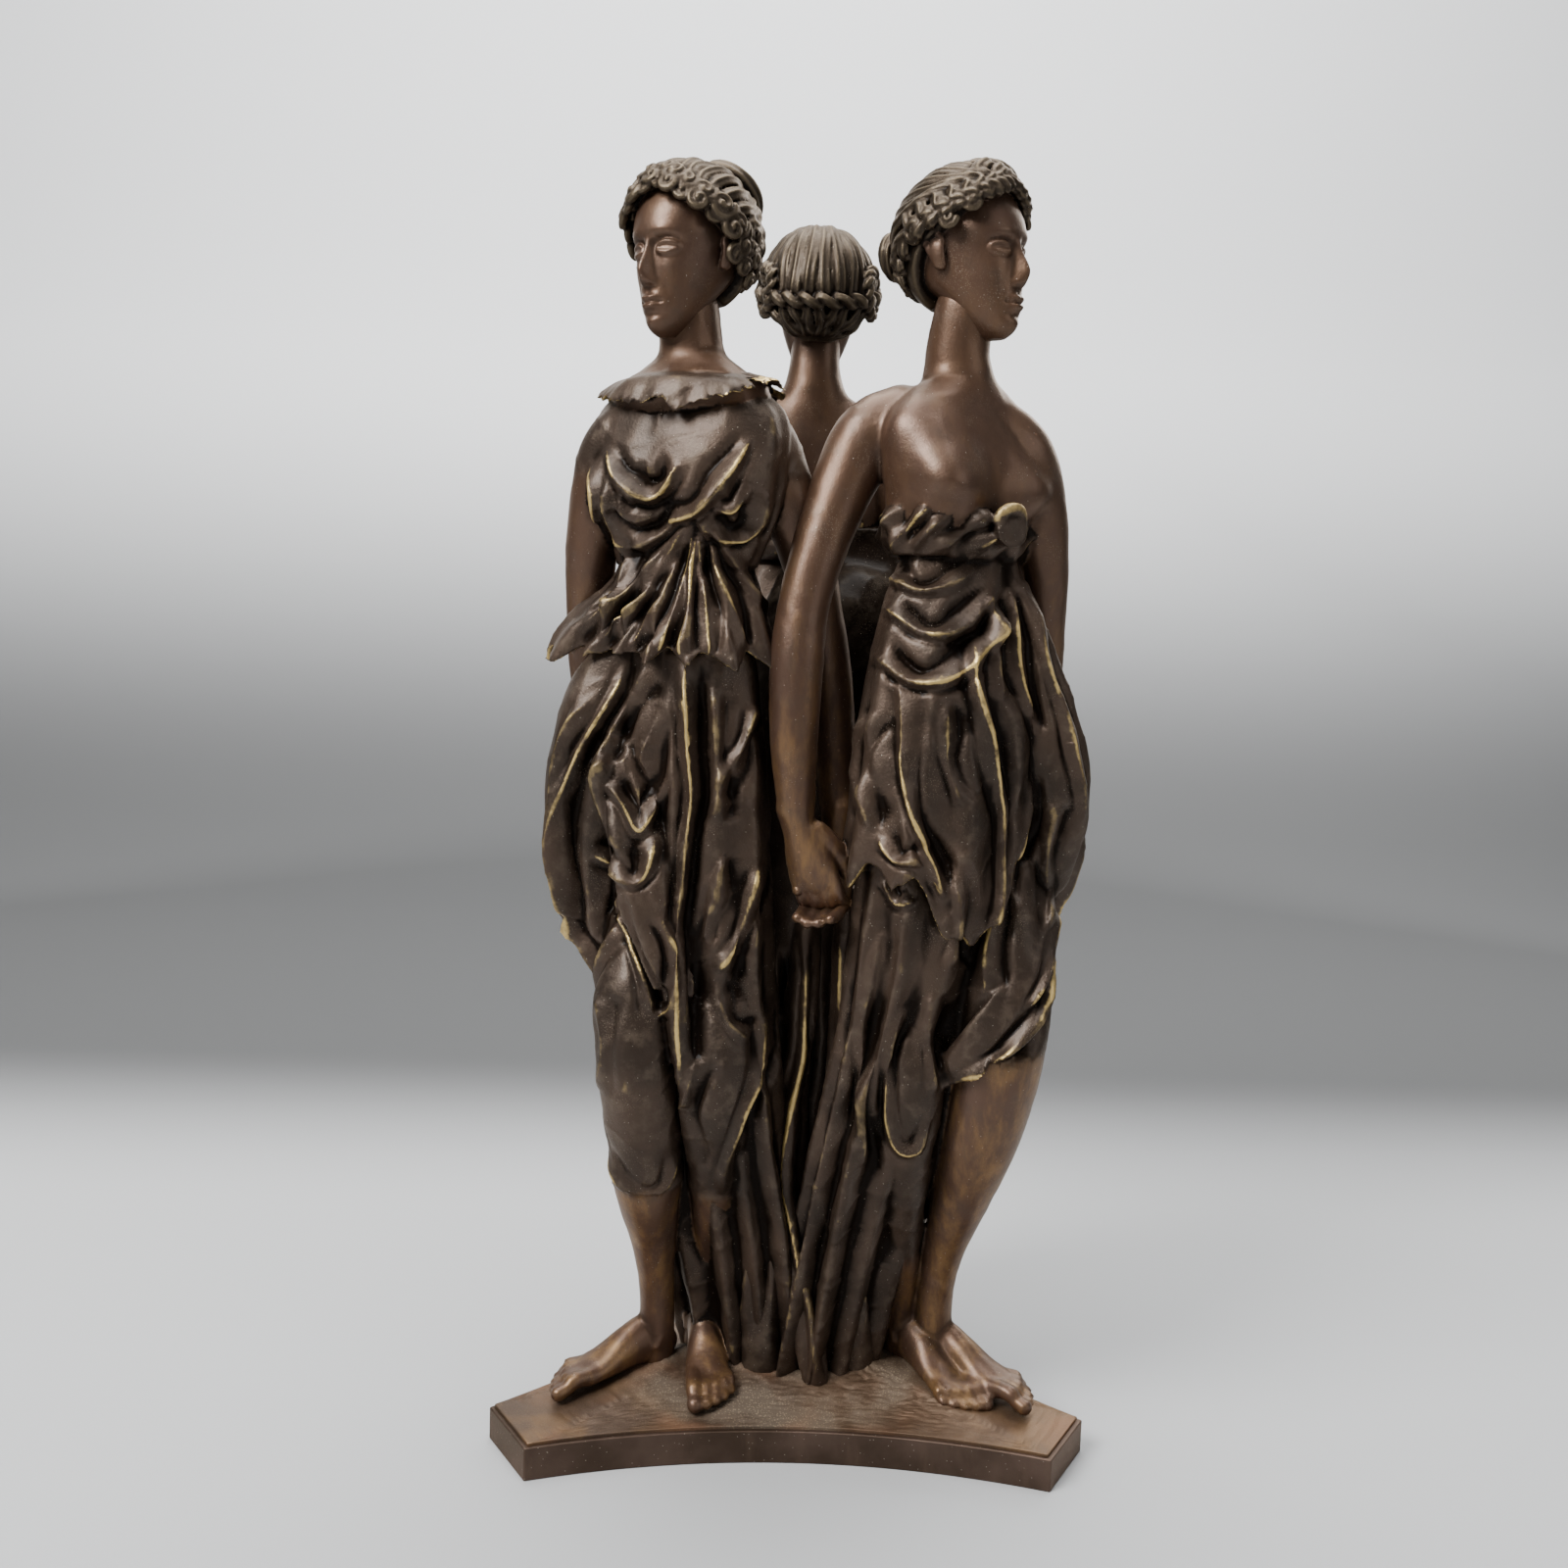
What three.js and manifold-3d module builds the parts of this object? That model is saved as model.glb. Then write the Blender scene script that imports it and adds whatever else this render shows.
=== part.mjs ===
// Three draped women stand back to back with their hands joined, cast as one group with the ground
// under their feet. The group stands on a three-sided plinth with hollowed sides and cut corners.
// Millimetres, +Z up. The origin is the middle of the plinth's underside.
// -Y is the hollowed side between the collared woman, on -X, and the bare-shouldered one, on +X.
import * as THREE from "three";
import { ParametricGeometry } from "three/addons/geometries/ParametricGeometry.js";
import { mergeVertices } from "three/addons/utils/BufferGeometryUtils.js";
import Module from "manifold-3d";

const wasm = await Module();
wasm.setup();

// Plinth
const CORNER_REACH = 121; // middle of the object to each cut corner
const CORNER_HALF_WIDTH = 17.5;
const SIDE_HOLLOW = 16.5; // how far each side curves in
const PLINTH_HEIGHT = 12.5;
const PLINTH_BEVEL = 0.6;
const ARC_STEPS = 8;

// Ground
const LEDGE = 1.8; // plinth left bare round the ground
const GROUND_EDGE = 1.2; // thickness of the ground at its rim
const GROUND_RISE = 13; // how much higher the ground is in the middle

// Figures. Their tables are in millimetres above the plinth's top, for a group 467.5 mm tall.
const GROUP_HEIGHT = 467.5;
const SCALE = GROUP_HEIGHT / 467.5;

const DEGREE = Math.PI / 180;
const bronze = new THREE.MeshStandardMaterial({ color: 0x46342a, roughness: 0.42, metalness: 0.85 });
const plinthBronze = new THREE.MeshStandardMaterial({ color: 0x3d2c25, roughness: 0.45, metalness: 0.85 });

// Smooth curve through a list of rows, at t from 0 to 1. Each column is its own curve.
function through(rows, t) {
  const s = Math.min(Math.max(t, 0), 1) * (rows.length - 1);
  const i = Math.min(Math.floor(s), rows.length - 2);
  const f = s - i;
  const [p0, p1, p2, p3] = [-1, 0, 1, 2].map((k) => rows[Math.min(Math.max(i + k, 0), rows.length - 1)]);
  return p1.map((_, c) => {
    const slope1 = (p2[c] - p0[c]) / 2;
    const slope2 = (p3[c] - p1[c]) / 2;
    const rise = p2[c] - p1[c];
    return p1[c] + f * (slope1 + f * (3 * rise - 2 * slope1 - slope2 + f * (slope1 + slope2 - 2 * rise)));
  });
}

const bump = (distance, width) => Math.exp(-((distance / width) ** 2));
const clamp01 = (x) => Math.min(Math.max(x, 0), 1);
const smooth = (x) => clamp01(x) ** 2 * (3 - 2 * clamp01(x));

// A three.js geometry as a solid that can be joined and cut.
function solidOf(geometry) {
  geometry.deleteAttribute("normal");
  geometry.deleteAttribute("uv");
  const merged = mergeVertices(geometry, 1e-4);
  const triangles = [];
  for (let i = 0; i < merged.index.count; i += 3) {
    const [a, b, c] = [0, 1, 2].map((k) => merged.index.getX(i + k));
    if (a !== b && b !== c && c !== a) triangles.push(a, b, c);
  }
  const vertProperties = new Float32Array(merged.attributes.position.array);
  const make = (list) => {
    const triVerts = new Uint32Array(list);
    return new wasm.Manifold(new wasm.Mesh({ numProp: 3, vertProperties, triVerts }));
  };
  const made = make(triangles);
  return made.volume() > 0 ? made : make(triangles.reverse());
}

const middle = (ring) => ring.reduce((sum, p) => sum.add(p), new THREE.Vector3()).divideScalar(ring.length);

// A closed skin over a stack of rings of points, with the middle of each end ring as its pole.
function skin(rings, firstPole, lastPole) {
  const sides = rings[0].length;
  const poles = [firstPole ?? middle(rings[0]), lastPole ?? middle(rings.at(-1))];
  const pointAt = (u, v, target) => {
    const row = Math.round(v * (rings.length + 1));
    if (row === 0) target.copy(poles[0]);
    else if (row === rings.length + 1) target.copy(poles[1]);
    else target.copy(rings[row - 1][Math.round(u * sides) % sides]);
  };
  return solidOf(new ParametricGeometry(pointAt, sides, rings.length + 1));
}

// A limb: oval sections [x, y, z, half width, half depth] along a smooth line, with rounded ends.
// side is the direction of the half width.
function limb(rows, { sides = 6, rings = 7, side = [1, 0, 0], rounded = true } = {}) {
  const across = new THREE.Vector3(...side);
  const at = (t) => {
    const [x, y, z, a, b = a] = through(rows, t);
    return { centre: new THREE.Vector3(x, y, z), a, b };
  };
  const ring = (t, shrink = 1, push = 0) => {
    const { centre, a, b } = at(t);
    const along = at(t + 0.02).centre.sub(at(t - 0.02).centre).normalize();
    const v = new THREE.Vector3().crossVectors(along, across).normalize();
    const u = new THREE.Vector3().crossVectors(v, along);
    const reach = Math.min(a, b);
    centre.addScaledVector(along, push * reach);
    return Array.from({ length: sides }, (_, k) => {
      const angle = (2 * Math.PI * k) / sides;
      const point = centre.clone().addScaledVector(u, shrink * a * Math.cos(angle));
      return point.addScaledVector(v, shrink * b * Math.sin(angle));
    });
  };
  const stack = Array.from({ length: rings }, (_, k) => ring(k / (rings - 1)));
  if (!rounded) return skin(stack);
  return skin([...stack, ring(1, 0.7, 0.65)], middle(ring(0, 1, -0.8)), middle(ring(1, 1, 0.95)));
}

// A body: level sections [z, x, y, half width, half depth], each point moved out by relief(angle, z).
// Angle 0 is the figure's front, and positive angles turn to her left.
function trunk(rows, relief, { sides = 32, rings = 20, warp = 0 } = {}) {
  const ring = (t) => {
    const [z, x, y, a, b] = through(rows, t);
    return Array.from({ length: sides }, (_, k) => {
      const even = (2 * Math.PI * k) / sides - Math.PI;
      const angle = even - warp * Math.sin(even);
      const out = relief(angle / DEGREE, z, a, b);
      return new THREE.Vector3(x + (a + out) * Math.sin(angle), y - (b + out) * Math.cos(angle), z);
    });
  };
  return skin(Array.from({ length: rings }, (_, k) => ring(k / (rings - 1))));
}

// Draped cloth. Rows are level sections [z, x, y, half width, half depth, depth of the folds].
// Ridges are [angle at the top, halfway, at the bottom, share of the depth], once round the body,
// with a valley between each two. hem lowers the ridges of the last row and lifts its valleys.
function drape(rows, ridges, { rings = 12, hem = 0, valley = 0.8 } = {}) {
  const between = (p, q) => p.map((value, c) => (value + q[c]) / 2);
  const round = (ridge) => ridge.map((value, c) => (c < 3 ? value + 360 : value));
  const columns = ridges.flatMap((ridge, k) => {
    const next = k + 1 < ridges.length ? ridges[k + 1] : round(ridges[0]);
    const [top, half, low, share] = between(ridge, next);
    return [ridge, [top, half, low, -valley * share]];
  });
  const ring = (t) => {
    const [z, x, y, a, b, depth] = through(rows, t);
    const last = t === 1 ? hem : 0;
    return columns.map(([top, half, low, share]) => {
      const angle = through([[top], [half], [low]], t)[0] * DEGREE;
      const out = share * depth;
      const drop = last * Math.sign(share);
      return new THREE.Vector3(x + (a + out) * Math.sin(angle), y - (b + out) * Math.cos(angle), z - drop);
    });
  };
  return skin(Array.from({ length: rings }, (_, k) => ring(k / (rings - 1))));
}

// Head, about the middle between the ears: [z, x, y, half width, half depth], chin to crown.
const SKULL = [
  [-31, 0, -14, 3.2, 2.6],
  [-28.5, 0, -13, 7.6, 6.2],
  [-22, 0, -9.5, 11.4, 11],
  [-13, 0, -4.5, 14.6, 16.6],
  [-3, 0, -0.5, 17, 20.6],
  [7, 0, 1, 18.2, 22],
  [16, 0, 1.5, 17, 20],
  [24, 0, 2, 11, 13],
];

// Brow, eye sockets, nose, lips and chin as heights over the skull.
function faceHeight(angle, z, a) {
  if (Math.abs(angle) > 80) return 0;
  const x = a * Math.sin(angle * DEGREE);
  const off = Math.abs(x);
  const noseLength = smooth((z + 9.5) / 1.6) * smooth((7 - z) / 4);
  const nose = (1.6 + 4.6 * clamp01((5 - z) / 13)) * bump(x, 2.6 + 0.9 * clamp01(-z / 8)) * noseLength;
  const socket = -2.1 * bump(off - 7.2, 4.2) * bump(z - 1.5, 3.4);
  const lid = 1.3 * bump(off - 7.2, 3) * bump(z - 0.6, 1.5);
  const brow = 0.8 * bump(off - 6.5, 6) * bump(z - 6.2, 2.2);
  const lips = 1.7 * bump(x, 4.6) * bump(z + 15.4, 2.4);
  const chin = 1.6 * bump(x, 5) * bump(z + 25, 3.4);
  const cheek = 0.8 * bump(off - 10, 5) * bump(z + 8, 6);
  return nose + socket + lid + brow + lips + chin + cheek;
}

// Hair: a waved cap with a roll of curls round the face, and a knot behind the crown.
function hairSolids({ knot, crest, full = 1 }) {
  const rows = [
    [-25, 0, 14, 9, 6],
    [-17, 0, 12, 17, 11.5],
    [-8, 0, 9, 22.5, 17],
    [1, 0, 6, 24.5, 22],
    [10, 0, 4, 25, 24.5],
    [19, 0, 2, 22.5, 24.8],
    [27, 0, 2.6, 15.5, 18],
    [31, 0, 3, 7, 8],
  ].map(([z, x, y, a, b]) => [z, x, y, a * full, b * full]);
  const waves = (angle, z) => {
    const curl = 1.4 * Math.cos(angle * 9 * DEGREE) * Math.cos(z * 27 * DEGREE) * bump(z - 6, 18);
    return curl + crest * bump(angle, 38) * bump(z - 22, 6);
  };
  const cap = trunk(rows, waves, { sides: 14, rings: 7 });
  return [cap, limb(knot, { sides: 7, rings: 3 })];
}

function headSolid({ place, turn, nod, hair }) {
  const skull = trunk(SKULL, faceHeight, { sides: 15, rings: 10, warp: 0.5 });
  const parts = [skull, ...hairSolids(hair)];
  return wasm.Manifold.union(parts).rotate([nod, 0, 0]).rotate([0, 0, turn]).translate(place);
}

// Foot from heel to toes, laid along its own -Y and then turned and placed on the ground.
// inner is 1 where the big toe is on the +X side of that direction, and -1 on the other foot.
function footSolid({ heel, turn, drop, inner }) {
  const rows = [
    [0, 4, 5.5, 5.5, 5.5],
    [0, -4, 7.5, 6.5, 8],
    [0, -14, 7, 7, 7],
    [0, -24, 4.6, 8.8, 5],
    [0, -33, 3, 9.4, 3.4],
    [0, -38, 2.2, 8.4, 2.4],
  ];
  const bigToe = limb([[5.5 * inner, -33, 3, 2.6], [5.5 * inner, -43, 2.4, 2.4]], { sides: 5, rings: 2 });
  const foot = wasm.Manifold.union([limb(rows, { sides: 6, rings: 4 }), bigToe]);
  return foot.rotate([drop, 0, 0]).rotate([0, 0, turn]).translate(heel);
}

// Arm from shoulder to fingertips. The last row is the end of the closed fingers.
const armSolid = (rows) => limb(rows, { sides: 6, rings: 7 });
const legSolid = (rows) => limb(rows, { sides: 6, rings: 5, rounded: false });
const neckSolid = (rows) => limb(rows, { sides: 7, rings: 3, rounded: false });

// Collared woman, on -X
function collaredWoman() {
  const here = (solid) => solid.rotate([0, 0, -28]).translate([-47, -32, 0]);
  const skirt = [
    [292, 0, 0, 27, 18.5, 1.2],
    [252, 0, 1, 33.5, 23, 2.6],
    [200, 1.5, 1.5, 35, 24, 3.4],
    [150, 5, 5, 33, 23.5, 3.8],
    [105, 9, 9.5, 31, 23, 4.4],
    [60, 14, 15, 30, 24.5, 5.2],
    [0, 20, 22, 34, 29, 6.5],
  ];
  const skirtRidges = [
    [-150, -156, -160, 1], [-106, -112, -118, 1.2], [-70, -80, -76, 0.5], [-34, -44, -22, 0.8],
    [-4, 6, 4, 1.5], [24, 20, 24, 0.8], [50, 44, 44, 1.3], [84, 76, 74, 1.3], [122, 114, 110, 1],
    [166, 160, 156, 1.1],
  ];
  const blouse = [
    [383, 0, 1, 14, 11, 0.4],
    [374, 0, 1, 29, 15.5, 1],
    [361, 0, 0, 33.5, 20, 2.4],
    [347, 0, -1, 33, 22.5, 3],
    [334, 0, -0.5, 31, 21.5, 3.2],
    [320, 0, 0, 26, 17, 1],
  ];
  const blouseRidges = [
    [-150, -148, -146, 0.7], [-96, -92, -90, 0.9], [-56, -62, -66, 1], [-26, -34, -44, 1.8],
    [-14, -8, -16, 0.8], [14, 10, 12, 1], [26, 36, 42, 1.9], [58, 64, 68, 1], [100, 96, 92, 0.9],
    [150, 148, 146, 0.7],
  ];
  const peplum = [
    [327, 0, 0, 23, 14.5, 0.8],
    [316, -1, 0, 28, 19.5, 1.8],
    [300, -3, 0, 34, 24, 2.8],
    [283, -5, 0.5, 41, 28, 3.8],
  ];
  const peplumRidges = [
    [-158, -158, -158, 1], [-118, -122, -124, 1.2], [-86, -92, -96, 1.7], [-58, -64, -70, 1],
    [-40, -46, -50, 1.2], [-22, -26, -28, 0.9], [-6, -9, -11, 1.3], [10, 9, 8, 0.9],
    [26, 27, 28, 1.3], [46, 50, 52, 1], [78, 84, 88, 1.4], [122, 124, 126, 1],
  ];
  const collar = [
    [391, 0, -1, 14, 12, 0.3],
    [386, 0, -1, 24, 16, 0.8],
    [380, 0, -1, 33, 21, 1.4],
    [375.5, 0, -1, 36, 24, 1.6],
    [372, 0, -1, 31, 20, 1],
  ];
  const collarRidges = [
    [-150, -150, -150, 1], [-98, -98, -98, 1.2], [-60, -60, -60, 1], [-22, -22, -22, 1.3],
    [14, 14, 14, 1.3], [50, 50, 50, 1], [88, 88, 88, 1.2], [140, 140, 140, 1],
  ];
  return [
    here(drape(skirt, skirtRidges, { rings: 7 })),
    here(drape(blouse, blouseRidges, { rings: 5 })),
    here(drape(peplum, peplumRidges, { rings: 4, hem: 3 })),
    here(drape(collar, collarRidges, { rings: 4, hem: 1 })),
    // Cloak swept round her right side, and the gathered cloth that hangs from it over the thigh
    limb([
      [-66, -30, 296, 12, 9],
      [-77, -32, 268, 17, 12],
      [-82, -28, 238, 17.5, 14],
      [-81, -24, 208, 15, 14],
      [-73, -22, 176, 12, 11],
      [-64, -20, 146, 8, 8],
    ], { sides: 7, rings: 6 }),
    limb([
      [-84, -42, 268, 5, 4],
      [-76, -52, 246, 8, 5],
      [-64, -59, 234, 9, 5.5],
      [-52, -60, 214, 8, 5],
      [-50, -60, 186, 7, 5],
      [-47, -59, 160, 4, 3],
    ], { sides: 6, rings: 6, side: [0, 0, 1] }),
    limb([
      [-80, -44, 230, 5, 4],
      [-70, -54, 212, 7, 4.5],
      [-64, -59, 188, 6, 4.5],
      [-58, -60, 158, 5, 3.5],
      [-56, -58, 132, 3, 2.5],
    ], { sides: 6, rings: 5, side: [0, 0, 1] }),
    neckSolid([
      [-47, -31, 374, 19, 13],
      [-47, -31.5, 386, 13, 11.5],
      [-47.5, -32, 398, 10.8, 10.6],
      [-49, -33, 412, 10.8, 11.5],
    ]),
    legSolid([
      [-61, -32, 190, 12],
      [-63, -41, 160, 16.5],
      [-62, -44, 128, 14.5],
      [-60, -36, 92, 12.5],
      [-56, -25, 50, 8],
      [-54, -21, 22, 7.5],
      [-54, -20, 6, 8],
    ]),
    legSolid([
      [-34, -34, 180, 12],
      [-32, -44, 150, 15.5],
      [-31, -46, 124, 14.5],
      [-31, -36, 90, 12],
      [-33, -24, 50, 8],
      [-33, -19, 26, 7.5],
      [-33, -17, 8, 8],
    ]),
    footSolid({ heel: [-55, -19, 7], turn: -54, drop: 9, inner: 1 }),
    footSolid({ heel: [-33, -15, 9], turn: 8, drop: 14, inner: -1 }),
    armSolid([
      [-62, -28, 374, 10, 10],
      [-74, -25, 366, 12.5, 12],
      [-80, -21, 350, 12, 11.5],
      [-84, -16, 328, 10.5, 10.5],
      [-85, -11, 302, 9.5, 9],
      [-84, -6, 280, 9, 8.5],
      [-81, 3, 252, 8, 8],
      [-75, 11, 228, 5.5, 6],
      [-71, 16, 212, 5, 8],
      [-69, 18, 196, 4, 6.5],
    ]),
    armSolid([
      [-32, -34, 374, 10, 10],
      [-21, -36, 366, 12.5, 12],
      [-13, -35, 350, 12, 11.5],
      [-4, -31, 328, 10.5, 10.5],
      [3, -28, 302, 9.5, 9],
      [7, -26, 280, 9, 8.5],
      [9, -29, 252, 8, 8],
      [10, -35, 230, 5.5, 6],
      [12, -38, 214, 5, 8],
      [11, -41, 198, 4, 6.5],
    ]),
    headSolid({
      place: [-50, -35, 431.5], turn: -52, nod: 4,
      hair: { crest: 1.5, knot: [[-10, 15, 16, 9, 9], [0, 19, 22, 13, 11], [10, 15, 16, 9, 9]] },
    }),
  ];
}

const BUST = [
  [391, 0, 0, 13, 11],
  [383, 0, 0, 25, 13.5],
  [373, 0, 0, 33, 16.5],
  [361, 0, 0, 33, 18.5],
  [348, 0, 0, 31, 19],
  [332, 0, 0, 28, 18],
];
const bustHeight = (angle, z) => 8.5 * (bump(angle + 32, 20) + bump(angle - 32, 20)) * bump(z - 353, 10);

const ROLLED_BAND = [
  [346, 0, -1, 22, 14, 0.8],
  [342, 0, -1, 30, 21, 1.8],
  [334, 0, -0.5, 31, 22, 2.2],
  [324, 0, 0, 27, 18, 1],
];
const BAND_RIDGES = [
  [-150, -144, -138, 1], [-104, -94, -86, 1.2], [-66, -52, -40, 1.1], [-30, -14, -4, 1.3],
  [4, 16, 28, 1], [42, 52, 62, 1.2], [84, 94, 102, 1], [136, 144, 152, 1],
];

// Bare-shouldered woman, on +X
function bareShoulderedWoman() {
  const here = (solid) => solid.rotate([0, 0, 36]).translate([51, -36, 0]);
  const skirt = [
    [214, -1, 1, 31, 21.5, 1.6],
    [180, -2, 3, 34, 24, 3.4],
    [150, -3, 6, 33.5, 24, 3.8],
    [105, -6, 13, 32, 23.5, 4.4],
    [60, -11, 21, 31.5, 24.5, 5.2],
    [0, -15, 31, 35, 29, 6.5],
  ];
  const skirtRidges = [
    [-154, -150, -148, 1], [-118, -112, -108, 1.1], [-86, -84, -82, 1.4], [-58, -66, -62, 1.1],
    [-34, -48, -44, 1.5], [-12, -30, -26, 0.9], [12, -8, -8, 1.3], [34, 24, 14, 0.6],
    [58, 58, 50, 0.2], [90, 94, 90, 1], [126, 126, 126, 1.1], [166, 168, 170, 1],
  ];
  const apron = [
    [328, 3, -1, 24, 15, 0.8],
    [306, 1, -1, 31, 21.5, 2],
    [268, -1, -1.5, 35.5, 25.5, 2.8],
    [234, -3, -2, 37.5, 27.5, 3.2],
    [206, -5, -1, 37, 27, 3.8],
  ];
  const apronRidges = [
    [-160, -162, -163, 0.4], [-116, -124, -128, 1], [-78, -90, -98, 1.3], [-50, -62, -70, 1],
    [-22, -38, -48, 1.6], [-4, -18, -26, 0.9], [12, 2, -5, 1.6], [30, 24, 18, 1.1],
    [56, 54, 52, -0.2], [96, 96, 96, -0.8], [140, 140, 140, -0.4],
  ];
  return [
    here(drape(skirt, skirtRidges, { rings: 7 })),
    here(trunk(BUST, bustHeight, { sides: 14, rings: 6 })),
    here(drape(ROLLED_BAND, BAND_RIDGES, { rings: 5 })),
    here(drape(apron, apronRidges, { rings: 5, hem: 5 })),
    // Round clasp on the band
    here(limb([
      [9, -19, 335, 6.2, 6.2],
      [10, -25.5, 335.5, 5.2, 5.2],
    ], { sides: 10, rings: 2, side: [0, 0, 1] })),
    // Cloak thrown out at her left side
    limb([
      [78, -38, 308, 8, 8],
      [86, -36, 276, 13, 11],
      [89, -32, 244, 17.5, 14],
      [88, -28, 214, 14, 13],
      [83, -26, 184, 10, 9],
      [76, -26, 160, 6, 6],
    ], { sides: 7, rings: 6 }),
    // Rolled edge of cloth across the thigh, and the long fold that drops from the hip
    limb([
      [94, -46, 200, 5, 4],
      [82, -58, 176, 8, 5],
      [67, -61, 150, 8, 5],
      [53, -54, 126, 6, 4],
      [45, -46, 104, 4, 3],
    ], { sides: 6, rings: 6, side: [0, 0, 1] }),
    limb([
      [92, -48, 178, 4, 3.5],
      [82, -58, 156, 5, 4],
      [68, -59, 130, 5, 4],
      [55, -52, 108, 3.5, 3],
    ], { sides: 6, rings: 5, side: [0, 0, 1] }),
    neckSolid([
      [50, -35, 380, 19, 13],
      [49.5, -35.5, 391, 13, 11.5],
      [49, -36, 402, 10.8, 10.6],
      [51, -37, 416, 10.8, 11.5],
    ]),
    legSolid([
      [74, -34, 205, 14],
      [77, -42, 180, 18.5],
      [77, -46, 146, 15],
      [73, -37, 108, 13],
      [65, -24, 58, 8.2],
      [62, -18, 28, 7.5],
      [61, -16, 8, 8],
    ]),
    legSolid([
      [44, -34, 170, 12],
      [45, -42, 146, 14.5],
      [46, -43, 122, 14],
      [47, -34, 92, 12],
      [50, -19, 50, 8],
      [50, -13, 26, 7.5],
      [49, -11, 8, 8],
    ]),
    footSolid({ heel: [60, -16, 8.5], turn: 48, drop: 10, inner: -1 }),
    footSolid({ heel: [49, -10, 9.5], turn: 32, drop: 12, inner: 1 }),
    armSolid([
      [30, -36, 379, 10, 10],
      [18, -37, 370, 12.5, 12],
      [10, -39, 354, 12, 11.5],
      [2, -43, 332, 10.5, 10.5],
      [-4, -47, 308, 9.5, 9],
      [-6, -49, 286, 9, 9],
      [-6, -49, 256, 8.5, 8.5],
      [-5, -48, 232, 5.5, 6.5],
      [-2, -46, 214, 5, 8],
      [3, -43, 196, 4, 6.5],
    ]),
    armSolid([
      [64, -34, 376, 10, 10],
      [74, -32, 366, 12, 11.5],
      [81, -28, 350, 11.5, 11],
      [86, -22, 328, 10, 10],
      [88, -15, 304, 9.5, 9],
      [89, -8, 280, 9, 8.5],
      [88, 2, 252, 8, 8],
      [83, 11, 230, 5.5, 6],
      [79, 16, 212, 5, 8],
      [76, 18, 196, 4, 6.5],
    ]),
    headSolid({
      place: [52, -37, 433.5], turn: 58, nod: -2,
      hair: { crest: 3, full: 0.97, knot: [[-8, 21, 6, 8, 9], [0, 25, 8, 10, 11], [8, 21, 6, 8, 9]] },
    }),
  ];
}

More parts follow.
